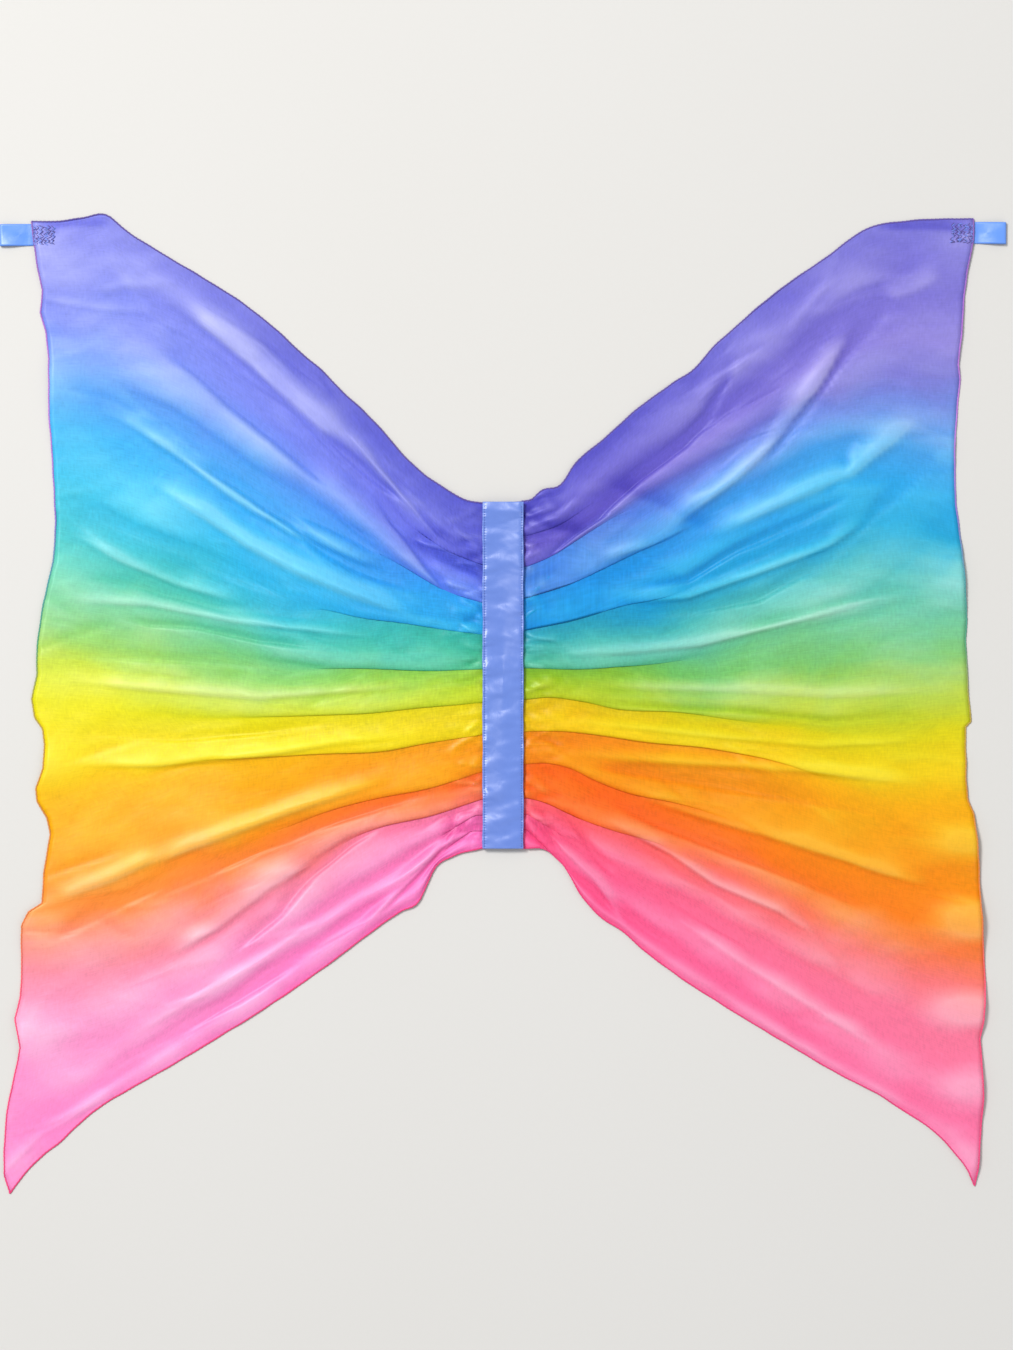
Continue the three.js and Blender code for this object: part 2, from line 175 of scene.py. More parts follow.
def remap(make, value, low, high, start=0.0, end=1.0):
    inputs = {"Value": value, "From Min": start, "From Max": end, "To Min": low, "To Max": high}
    return make("MapRange", inputs).outputs[0]


def colour_ramp(make, factor, stops):
    """A ramp through (place, colour) pairs, in linear colour."""
    node = make("ValToRGB", {"Fac": factor})
    ramp = node.color_ramp
    while len(ramp.elements) < len(stops):
        ramp.elements.new(0.5)
    for element, (place, colour) in zip(ramp.elements, sorted(stops)):
        element.position = place
        element.color = (*colour, 1.0)
    return node.outputs["Color"]


def mix_colour(make, factor, a, b):
    node = make("Mix", {"Factor": factor}, data_type="RGBA")
    for socket, value in ((node.inputs[6], a), (node.inputs[7], b)):
        if isinstance(value, bpy.types.NodeSocket):
            socket.id_data.links.new(value, socket)
        else:
            socket.default_value = (*value, 1.0)
    return node.outputs[2]


def finish_shader(make, shader):
    make("OutputMaterial", {"Surface": shader})


# The dye runs across the silk in soft bands: share of the silk's height, colour
DYE = {
    "left": [
        (0, (0.985, 0.344, 0.687)), (0.08, (0.974, 0.405, 0.707)), (0.15, (0.959, 0.425, 0.683)),
        (0.2, (0.947, 0.399, 0.527)), (0.235, (0.948, 0.368, 0.31)), (0.27, (0.957, 0.373, 0.087)),
        (0.31, (0.949, 0.444, 0.028)), (0.35, (0.95, 0.56, 0.012)), (0.39, (0.93, 0.67, 0.009)),
        (0.43, (0.90, 0.78, 0.012)), (0.475, (0.85, 0.82, 0.022)), (0.515, (0.67, 0.79, 0.10)),
        (0.55, (0.43, 0.74, 0.26)), (0.59, (0.271, 0.70, 0.42)), (0.63, (0.156, 0.664, 0.574)),
        (0.67, (0.103, 0.639, 0.737)), (0.71, (0.089, 0.625, 0.855)), (0.76, (0.105, 0.574, 0.903)),
        (0.8, (0.175, 0.495, 0.905)), (0.835, (0.255, 0.42, 0.89)), (0.87, (0.33, 0.40, 0.88)),
        (0.92, (0.34, 0.372, 0.86)), (1, (0.265, 0.272, 0.75)),
    ],
    "right": [
        (0, (0.985, 0.27, 0.51)), (0.08, (0.978, 0.285, 0.50)), (0.15, (0.971, 0.305, 0.46)),
        (0.2, (0.963, 0.303, 0.3)), (0.235, (0.958, 0.305, 0.112)), (0.27, (0.959, 0.333, 0.029)),
        (0.31, (0.95, 0.383, 0.01)), (0.35, (0.914, 0.453, 0.007)), (0.39, (0.94, 0.57, 0.006)),
        (0.43, (0.90, 0.69, 0.007)), (0.475, (0.80, 0.74, 0.012)), (0.515, (0.54, 0.71, 0.085)),
        (0.55, (0.33, 0.68, 0.28)), (0.59, (0.27, 0.69, 0.49)), (0.63, (0.17, 0.63, 0.62)),
        (0.67, (0.042, 0.513, 0.77)), (0.71, (0.054, 0.51, 0.85)), (0.76, (0.127, 0.48, 0.859)),
        (0.8, (0.265, 0.41, 0.83)), (0.835, (0.302, 0.296, 0.742)), (0.87, (0.311, 0.265, 0.728)),
        (0.92, (0.302, 0.265, 0.734)), (1, (0.26, 0.245, 0.719)),
    ],
}


def silk_material(name, dyes, drift):
    """Dyed habotai: bands that bleed into each other, faint thread lines, a gloss of the dye's
    own colour, and light that comes through. The bands climb by drift towards the left edge.
    The crest attribute paints shade, a deeper and darker dye, where it is low, and a painted highlight,
    a paler dye, where it is high."""
    material, make = new_material(name)
    flat, place = coordinates(make)
    across, height, _ = make("SeparateXYZ", {0: flat}).outputs
    crest = make("Attribute", attribute_name="crest").outputs["Fac"]

    cloud = noise(make, place, 9.0, 4.0, 0.55, 0.4)
    bleed = noise(make, stretched(make, flat, (9.0, 150.0, 1.0)), 1.0, 3.0, 0.6)
    moved = calc(make, "ADD", height, remap(make, cloud, -0.028, 0.028))
    moved = calc(make, "ADD", moved, remap(make, bleed, -0.006, 0.006))
    moved = calc(make, "SUBTRACT", moved, remap(make, across, drift, 0.0, 0.0, 0.24))
    dye = colour_ramp(make, moved, dyes)

    along = noise(make, stretched(make, flat, (60.0, 900.0, 1.0)), 1.0, 2.0, 0.6)
    upward = noise(make, stretched(make, flat, (440.0, 120.0, 1.0)), 1.0, 2.0, 0.6)
    threads = calc(make, "ADD", along, upward)
    uneven = noise(make, place, 26.0, 3.0, 0.5, 0.8)
    strength = calc(make, "ADD", remap(make, threads, -0.1, 0.1, 0.6, 1.4),
                    remap(make, uneven, -0.05, 0.05))
    # Painted shade: the dye's value drops where the crest is low, on top of the thread lines and uneven
    # tone
    tone_and_painted_shade = calc(make, "ADD", strength, remap(make, crest, 0.85, 1.0, -1.0, 0.0))
    dyed = make("HueSaturation", {"Color": dye, "Value": tone_and_painted_shade})
    # Painted light: a higher gamma paints the dye deeper and darker where the crest is low, a lower one
    # paints it paler where the crest is high
    painted_light_gamma = remap(make, crest, 2.88, 0.72, -1.0, 1.0)
    colour = make("Gamma", {"Color": dyed.outputs[0], "Gamma": painted_light_gamma}).outputs[0]

    crumple = noise(make, place, 55.0, 3.0, 0.5, 0.6)
    crinkle = noise(make, stretched(make, flat, (38.0, 190.0, 1.0)), 1.0, 3.0, 0.55, 0.5)
    fine = bump(make, threads, 0.16, 0.0003)
    small = bump(make, crinkle, 0.15, 0.0007, fine)
    normal = bump(make, crumple, 0.16, 0.0016, small)
    gleam = mix_colour(make, 0.45, colour, (1.0, 1.0, 1.0))
    cloth = make("BsdfPrincipled", {
        "Base Color": colour,
        "Roughness": remap(make, threads, 0.35, 0.45, 0.6, 1.4),
        "Specular IOR Level": 0.7,
        "Specular Tint": gleam,
        "Anisotropic": 0.4,
        "Sheen Weight": 0.03,
        "Sheen Roughness": 0.35,
        "Normal": normal,
    })
    thin = make("Gamma", {"Color": colour, "Gamma": 0.6})
    through = make("BsdfTranslucent", {"Color": thin.outputs[0], "Normal": normal})
    both = make("MixShader", {0: 0.36, 1: cloth.outputs[0], 2: through.outputs[0]})
    finish_shader(make, both.outputs[0])
    return material


def satin_material(name, dark, light):
    """Blue satin ribbon: long floats that shine along the ribbon, with fine cross threads."""
    material, make = new_material(name)
    flat, place = coordinates(make)
    floats = noise(make, stretched(make, flat, (3.0, 0.06, 1.0)), 1.0, 2.0, 0.6)
    cross = noise(make, stretched(make, flat, (0.12, 2.6, 1.0)), 1.0, 2.0, 0.6)
    cloud = noise(make, place, 60.0, 3.0, 0.5, 0.6)
    tone = calc(make, "ADD", remap(make, floats, -0.12, 0.12), remap(make, cloud, 0.35, 0.65))
    colour = mix_colour(make, tone, dark, light)
    grain = calc(make, "ADD", floats, cross)
    weave = bump(make, grain, 0.12, 0.0002)
    satin = make("BsdfPrincipled", {
        "Base Color": colour,
        "Roughness": remap(make, grain, 0.33, 0.42, 0.6, 1.4),
        "Specular IOR Level": 0.8,
        "Anisotropic": 0.5,
        "Sheen Weight": 0.06,
        "Sheen Roughness": 0.3,
        "Normal": bump(make, cloud, 0.28, 0.0016, weave),
    })
    finish_shader(make, satin.outputs[0])
    return material


def thread_material(name, stops):
    """Spun thread: two plies that wind round it, in a colour that may change along the hem."""
    material, make = new_material(name)
    flat, place = coordinates(make)
    height = make("SeparateXYZ", {0: flat}).outputs[1]
    colour = colour_ramp(make, height, stops)
    worn = noise(make, place, 400.0, 2.0)
    spun = make("HueSaturation", {"Color": colour, "Value": remap(make, worn, 0.78, 1.2)})
    plies = make("TexWave", {"Vector": place, "Scale": 1400.0 / 6.0, "Distortion": 1.5})
    thread = make("BsdfPrincipled", {
        "Base Color": spun.outputs[0],
        "Roughness": remap(make, worn, 0.5, 0.7),
        "Sheen Weight": 0.25,
        "Sheen Roughness": 0.5,
        "Normal": bump(make, plies.outputs["Fac"], 0.3, 0.0002),
    })
    finish_shader(make, thread.outputs[0])
    return material


def elastic_material():
    """White braided elastic: fine ribs along it and a slanted braid across them."""
    material, make = new_material("white_elastic")
    flat = make("UVMap", uv_map="cloth").outputs[0]
    strands = [
        make("TexWave", {"Vector": stretched(make, flat, (1.0, 1.0, 1.0), slant), "Scale": 1.1})
        for slant in (0.6, -0.6)
    ]
    braid = calc(make, "MAXIMUM", strands[0].outputs["Fac"], strands[1].outputs["Fac"])
    fluff = noise(make, flat, 1.5, 3.0)
    tone = calc(make, "ADD", remap(make, braid, 0.0, 0.7), remap(make, fluff, 0.0, 0.3))
    colour = mix_colour(make, tone, (0.70, 0.69, 0.66), (0.90, 0.89, 0.86))
    cord = make("BsdfPrincipled", {
        "Base Color": colour,
        "Roughness": remap(make, fluff, 0.65, 0.85),
        "Sheen Weight": 0.2,
        "Normal": bump(make, braid, 0.5, 0.0003),
    })
    finish_shader(make, cord.outputs[0])
    return material


def label_material():
    """Blank satin tape, off-white, with a close weave."""
    material, make = new_material("label_tape")
    flat = make("UVMap", uv_map="cloth").outputs[0]
    warp = noise(make, stretched(make, flat, (0.2, 4.0, 1.0)), 1.0, 2.0)
    weft = noise(make, stretched(make, flat, (4.0, 0.2, 1.0)), 1.0, 2.0)
    weave = calc(make, "ADD", warp, weft)
    tone = remap(make, weave, 0.0, 1.0, 0.6, 1.4)
    colour = mix_colour(make, tone, (0.78, 0.77, 0.74), (0.88, 0.87, 0.84))
    tape = make("BsdfPrincipled", {
        "Base Color": colour,
        "Roughness": remap(make, weave, 0.38, 0.5, 0.6, 1.4),
        "Normal": bump(make, weave, 0.2, 0.0002),
    })
    finish_shader(make, tape.outputs[0])
    return material


def table_material():
    """Warm off-white painted board, with a barely visible grain."""
    material, make = new_material("table_paint")
    place = make("TexCoord").outputs["Object"]
    broad = noise(make, place, 1.2, 2.0)
    fine = noise(make, place, 220.0, 3.0)
    tone = calc(make, "ADD", remap(make, broad, 0.0, 0.8), remap(make, fine, 0.0, 0.2))
    colour = mix_colour(make, tone, (0.55, 0.54, 0.515), (0.58, 0.575, 0.56))
    grain = bump(make, fine, 0.05, 0.0004)
    paint = make("BsdfPrincipled", {"Base Color": colour, "Roughness": 0.8, "Normal": grain})
    finish_shader(make, paint.outputs[0])
    return material


# Hem thread, by share of the silk's height: magenta at the tips, brown on the orange and
# yellow, teal on the green, lilac on the blue and violet at the top
HEM_SIDE = [
    (0.0, (0.72, 0.03, 0.17)), (0.2, (0.80, 0.06, 0.16)), (0.28, (0.66, 0.16, 0.03)),
    (0.42, (0.52, 0.22, 0.02)), (0.50, (0.36, 0.30, 0.03)), (0.56, (0.06, 0.28, 0.14)),
    (0.63, (0.04, 0.26, 0.30)), (0.70, (0.22, 0.14, 0.50)), (0.80, (0.42, 0.16, 0.55)),
    (0.90, (0.34, 0.12, 0.50)), (1.0, (0.20, 0.09, 0.36)),
]
HEM_TOP = [(0.0, (0.075, 0.045, 0.24)), (1.0, (0.10, 0.06, 0.29))]
HEM_BOTTOM = [(0.0, (0.62, 0.02, 0.13)), (1.0, (0.66, 0.03, 0.16))]

SILK = {
    "left": silk_material("dyed_silk_left", DYE["left"], 0.028),
    "right": silk_material("dyed_silk_right", DYE["right"], 0.0),
}
SATIN = satin_material("blue_satin", (0.08, 0.155, 0.50), (0.125, 0.22, 0.62))
LOOP_SATIN = satin_material("bright_blue_satin", (0.075, 0.21, 0.66), (0.115, 0.29, 0.80))
HEM = {
    "side": thread_material("hem_thread_side", HEM_SIDE),
    "top": thread_material("hem_thread_top", HEM_TOP),
    "bottom": thread_material("hem_thread_bottom", HEM_BOTTOM),
}
BLUE_THREAD, SKY_THREAD, VIOLET_THREAD, WHITE_THREAD = (
    thread_material(name, [(0.0, first), (1.0, last)]) for name, first, last in (
        ("blue_thread", (0.05, 0.10, 0.38), (0.06, 0.11, 0.41)),
        ("sky_thread", (0.16, 0.26, 0.80), (0.20, 0.30, 0.84)),
        ("violet_thread", (0.06, 0.035, 0.22), (0.10, 0.07, 0.32)),
        ("white_thread", (0.80, 0.79, 0.76), (0.84, 0.83, 0.80)),
    )
)
ELASTIC = elastic_material()
LABEL = label_material()


# ---------------------------------------------------------------- mesh helpers

def grid_faces(rows, columns, flip=False):
    """Four-sided faces of a grid of rows by columns points."""
    index = np.arange(rows * columns).reshape(rows, columns)
    corners = [index[:-1, :-1], index[1:, :-1], index[1:, 1:], index[:-1, 1:]]
    faces = np.stack(corners, -1).reshape(-1, 4)
    return faces[:, ::-1] if flip else faces


def grid_uv(across, along):
    """UV coordinates of a grid: one value for each column and one for each row."""
    return np.stack(np.broadcast_arrays(across[None, :], along[:, None]), -1).reshape(-1, 2)


def length_along(line):
    """How far each point of a line lies from its first point, measured along the line."""
    steps = np.linalg.norm(np.diff(line, axis=0), axis=1)
    return np.concatenate([[0.0], np.cumsum(steps)])


def add_piece(name, points, faces, material, uv=None, crest=None):
    """A smooth mesh from points in millimetres, with a uv and a crest value for each point."""
    mesh = bpy.data.meshes.new(name)
    faces = np.asarray(faces)
    mesh.vertices.add(len(points))
    mesh.vertices.foreach_set("co", (np.asarray(points, float) * MM).ravel())
    mesh.loops.add(faces.size)
    mesh.loops.foreach_set("vertex_index", faces.ravel())
    mesh.polygons.add(len(faces))
    sides = faces.shape[1]
    mesh.polygons.foreach_set("loop_start", np.arange(len(faces)) * sides)
    mesh.polygons.foreach_set("loop_total", np.full(len(faces), sides))
    mesh.update(calc_edges=True)
    if uv is not None:
        layer = mesh.uv_layers.new(name="cloth")
        layer.data.foreach_set("uv", np.asarray(uv, float)[faces.ravel()].ravel())
    if crest is not None:
        attribute = mesh.attributes.new("crest", "FLOAT", "POINT")
        attribute.data.foreach_set("value", np.asarray(crest, np.float32).ravel())
    mesh.polygons.foreach_set("use_smooth", np.ones(len(faces), bool))
    mesh.materials.append(material)
    piece = bpy.data.objects.new(name, mesh)
    bpy.context.collection.objects.link(piece)
    return piece


def add_wall(piece, thickness):
    """Gives a sheet its thickness, in millimetres, about its middle."""
    wall = piece.modifiers.new("wall", "SOLIDIFY")
    wall.thickness = thickness * MM
    wall.offset = 0.0
    wall.use_even_offset = False


def smooth_step(value, start, end):
    """Rises from 0 at start to 1 at end, level at both."""
    share = np.clip((value - start) / (end - start), 0.0, 1.0)
    return share * share * (3.0 - 2.0 * share)


def smooth_line(points, at):
    """A smooth line through (place, height) points: between two points it is the cubic whose
    slopes at both ends are those of the chord between the neighbours."""
    place, height = np.array(points, float).T
    slope = np.gradient(height, place)
    at = np.clip(at, place[0], place[-1])
    k = np.clip(np.searchsorted(place, at) - 1, 0, len(place) - 2)
    step = place[k + 1] - place[k]
    t = (at - place[k]) / step
    start = (1 + 2 * t) * (1 - t) ** 2 * height[k] + t * (1 - t) ** 2 * step * slope[k]
    end = t * t * (3 - 2 * t) * height[k + 1] + t * t * (t - 1) * step * slope[k + 1]
    return start + end


def tube_faces(stations, sides):
    """Faces of a tube of rings with flat ends, outward where across x up points along it."""
    ring = np.arange(stations * sides).reshape(stations, sides)
    after = np.roll(ring, -1, axis=1)
    walls = np.stack([ring[:-1], after[:-1], after[1:], ring[1:]], -1).reshape(-1, 4)
    k = np.arange(sides // 2 - 1)
    end = np.stack([k, k + 1, sides - 2 - k, sides - 1 - k], -1)
    return np.concatenate([walls, end[:, ::-1], end + (stations - 1) * sides])


def unit(vectors):
    return vectors / np.linalg.norm(vectors, axis=1, keepdims=True)


def frames(way):
    """Unit directions across and above each of several ways, square to it."""
    across = unit(np.cross([0.0, 0.0, 1.0], way))
    return across, unit(np.cross(way, across))


SIDES_OF_THREAD = 6


def add_tube(name, line, half_width, half_height, material, share):
    """A closed tube along a line of points: at each point an oval ring, half_width across the
    line and half_height above it. share runs along the tube and is its second UV coordinate."""
    sides = SIDES_OF_THREAD
    across, above = frames(np.gradient(line, axis=0))
    angle = np.arange(sides) * 2 * math.pi / sides
    width = np.broadcast_to(half_width, len(line))[:, None, None]
    height = np.broadcast_to(half_height, len(line))[:, None, None]
    sideways = width * np.cos(angle)[None, :, None] * across[:, None, :]
    upwards = height * np.sin(angle)[None, :, None] * above[:, None, :]
    points = (line[:, None, :] + sideways + upwards).reshape(-1, 3)
    uv = np.stack([np.tile(angle, len(line)), np.repeat(share, sides)], -1)
    return add_piece(name, points, tube_faces(len(line), sides), material, uv=uv)


def add_stitches(name, starts, ends, radius, arch, material):
    """Short arched bars of thread, one from each start to its end. A bar is a row of rings; it
    rises by arch in the middle and narrows where it enters the cloth."""
    thick = radius * np.array([0.4, 0.9, 1.0, 0.9, 0.4])
    sides, stations = SIDES_OF_THREAD, len(thick)
    t = np.linspace(0, 1, stations)
    angle = np.arange(sides) * 2 * math.pi / sides
    way = ends - starts
    across, above = frames(way)
    middle = starts[:, None, :] + way[:, None, :] * t[None, :, None]
    middle = middle + (np.sin(math.pi * t) * arch)[None, :, None] * above[:, None, :]
    ring = (across[:, None, None, :] * np.cos(angle)[None, None, :, None]
            + above[:, None, None, :] * np.sin(angle)[None, None, :, None])
    points = (middle[:, :, None, :] + thick[None, :, None, None] * ring).reshape(-1, 3)
    bars, per_bar = len(starts), stations * sides
    bar = tube_faces(stations, sides)
    faces = (bar[None] + (np.arange(bars) * per_bar)[:, None, None]).reshape(-1, 4)
    share = np.repeat(np.linspace(0, 1, bars), per_bar)
    uv = np.stack([np.zeros(bars * per_bar), share], -1)
    return add_piece(name, points, faces, material, uv=uv)


# ---------------------------------------------------------------- the silk square

# Folds of the silk, from the bottom hem to the top one: share of the silk's height, half of the
# height hidden in the fold at the spine, how far out the fold reaches, and (|x|, y) points of
# its lower edge from the spine to the side.
FOLDS = {
    "left": [
        (0, 0, 0, [
            (20, -131), (45, -138), (63, -150), (76, -178), (94, -189), (113, -202), (149, -229),
            (186, -256), (222, -280), (259, -303), (292, -323), (332, -346), (369, -368), (391, -386),
            (405, -400), (421, -412), (440, -432), (451, -447)
        ]),
        (0.06, 0.033, 60, [
            (30, -117), (58, -137), (94, -167), (149, -201), (213, -242), (286, -293), (360, -343),
            (444, -388)
        ]),
        (0.13, 0.033, 60, [
            (26, -102), (58, -122), (94, -144), (140, -172), (204, -213), (277, -256), (350, -297),
            (437, -327)
        ]),
        (0.21, 0.03, 190, [
            (20, -88), (72, -105), (110, -115), (138, -126), (176, -149), (231, -181), (296, -220),
            (369, -247), (433, -261)
        ]),
        (0.295, 0.025, 340, [
            (19, -63), (72, -80), (110, -90), (166, -109), (241, -134), (282, -147), (341, -177),
            (419, -192)
        ]),
        (0.39, 0.03, 420, [
            (19, -29), (72, -38), (110, -48), (166, -55), (241, -58), (282, -59), (321, -68),
            (371, -78), (414, -92)
        ]),
        (0.4775, 0.0225, 420, [
            (19, 0), (72, -5), (129, -15), (186, -19), (241, -19), (323, -17), (419, -12)
        ]),
        (0.567, 0.0325, 240, [
            (19, 31), (129, 27), (166, 27), (204, 34), (241, 44), (323, 52), (419, 59)
        ]),
        (0.685, 0.045, 230, [
            (20, 63), (93, 71), (135, 73), (176, 81), (208, 87), (241, 102), (296, 124), (350, 146),
            (419, 164)
        ]),
        (0.8, 0.035, 130, [
            (19, 92), (53, 103), (84, 120), (118, 140), (158, 169), (204, 199), (259, 229), (323, 252),
            (369, 261), (419, 265)
        ]),
        (0.92, 0.03, 90, [
            (19, 126), (53, 140), (84, 162), (118, 197), (158, 242), (204, 286), (259, 329), (323, 366),
            (419, 371)
        ]),
        (1.0, 0, 0, [
            (17, 184), (37, 188), (55, 199), (73, 211), (92, 229), (110, 250), (128, 269), (146, 285),
            (165, 305), (183, 320), (201, 337), (238, 367), (274, 390), (311, 412), (348, 436),
            (361, 447), (386, 445), (406, 442), (431, 442)
        ]),
    ],
    "right": [
        (0, 0, 0, [
            (19, -131), (41, -133), (55, -146), (73, -176), (92, -196), (107, -205), (125, -221),
            (162, -249), (199, -273), (235, -295), (272, -317), (308, -338), (345, -357), (363, -369),
            (382, -381), (400, -395), (418, -416), (426, -427), (431, -440)
        ]),
        (0.06, 0.033, 60, [
            (22, -116), (38, -131), (70, -160), (125, -201), (180, -238), (253, -288), (327, -334),
            (435, -388)
        ]),
        (0.13, 0.033, 60, [
            (22, -101), (43, -114), (80, -137), (125, -160), (180, -192), (244, -233), (318, -274),
            (438, -326)
        ]),
        (0.21, 0.03, 190, [
            (22, -87), (34, -90), (70, -107), (105, -121), (155, -135), (214, -160), (272, -192),
            (336, -224), (438, -256)
        ]),
        (0.295, 0.025, 340, [
            (19, -56), (39, -55), (61, -60), (85, -73), (114, -87), (155, -99), (214, -115),
            (264, -135), (327, -160), (435, -183)
        ]),
        (0.39, 0.03, 420, [
            (22, -26), (55, -26), (95, -32), (145, -43), (194, -49), (234, -56), (274, -66), (327, -82),
            (427, -98)
        ]),
        (0.4775, 0.0225, 420, [
            (22, 3), (39, 5), (75, 0), (105, -9), (155, -15), (214, -23), (264, -26), (327, -27),
            (424, -17)
        ]),
        (0.567, 0.0325, 240, [
            (21, 32), (95, 30), (145, 31), (184, 38), (214, 46), (264, 55), (327, 59), (418, 60)
        ]),
        (0.68, 0.03, 230, [
            (21, 65), (48, 70), (107, 81), (149, 90), (177, 105), (222, 127), (264, 146), (307, 160),
            (339, 169), (370, 173), (418, 161)
        ]),
        (0.745, 0.03, 200, [
            (21, 94), (48, 102), (107, 126), (149, 146), (191, 176), (233, 197), (285, 229), (336, 235),
            (418, 218)
        ]),
        (0.81, 0.03, 130, [
            (22, 125), (41, 133), (70, 151), (107, 174), (149, 199), (191, 222), (233, 245), (285, 268),
            (336, 279), (418, 275)
        ]),
        (0.92, 0.03, 90, [
            (22, 153), (52, 163), (89, 188), (135, 222), (180, 256), (226, 293), (272, 329), (327, 363),
            (418, 373)
        ]),
        (1.0, 0, 0, [
            (19, 186), (27, 188), (34, 195), (54, 202), (65, 219), (89, 240), (125, 272), (154, 293),
            (179, 311), (188, 322), (217, 349), (235, 365), (272, 393), (296, 409), (327, 432),
            (338, 437), (368, 442), (400, 444), (429, 444)
        ]),
    ],
}
# Side edges as (|x|, y) points, from the top corner to the bottom tip
SIDES = {
    "left": [
        (431, 442), (429, 424), (425, 398), (421, 379), (423, 359), (418, 341), (415, 316), (415, 266),
        (412, 227), (409, 169), (411, 133), (420, 93), (426, 53), (426, 28), (431, 5), (428, -11),
        (421, -22), (419, -36), (420, -58), (427, -76), (426, -88), (417, -103), (414, -119),
        (420, -156), (421, -182), (433, -190), (440, -202), (440, -240), (441, -267), (446, -287),
        (441, -313), (448, -345), (454, -374), (456, -408), (456, -430), (451, -446)
    ],
    "right": [
        (430, 444), (430, 425), (424, 395), (421, 368), (419, 338), (416, 311), (418, 298), (415, 266),
        (413, 238), (413, 212), (414, 184), (419, 147), (422, 114), (424, 78), (423, 60), (425, 14),
        (428, -15), (423, -20), (423, -69), (425, -87), (430, -100), (433, -123), (435, -151),
        (436, -179), (439, -224), (441, -256), (439, -288), (436, -306), (439, -357), (436, -398),
        (434, -426), (431, -441)
    ],
}
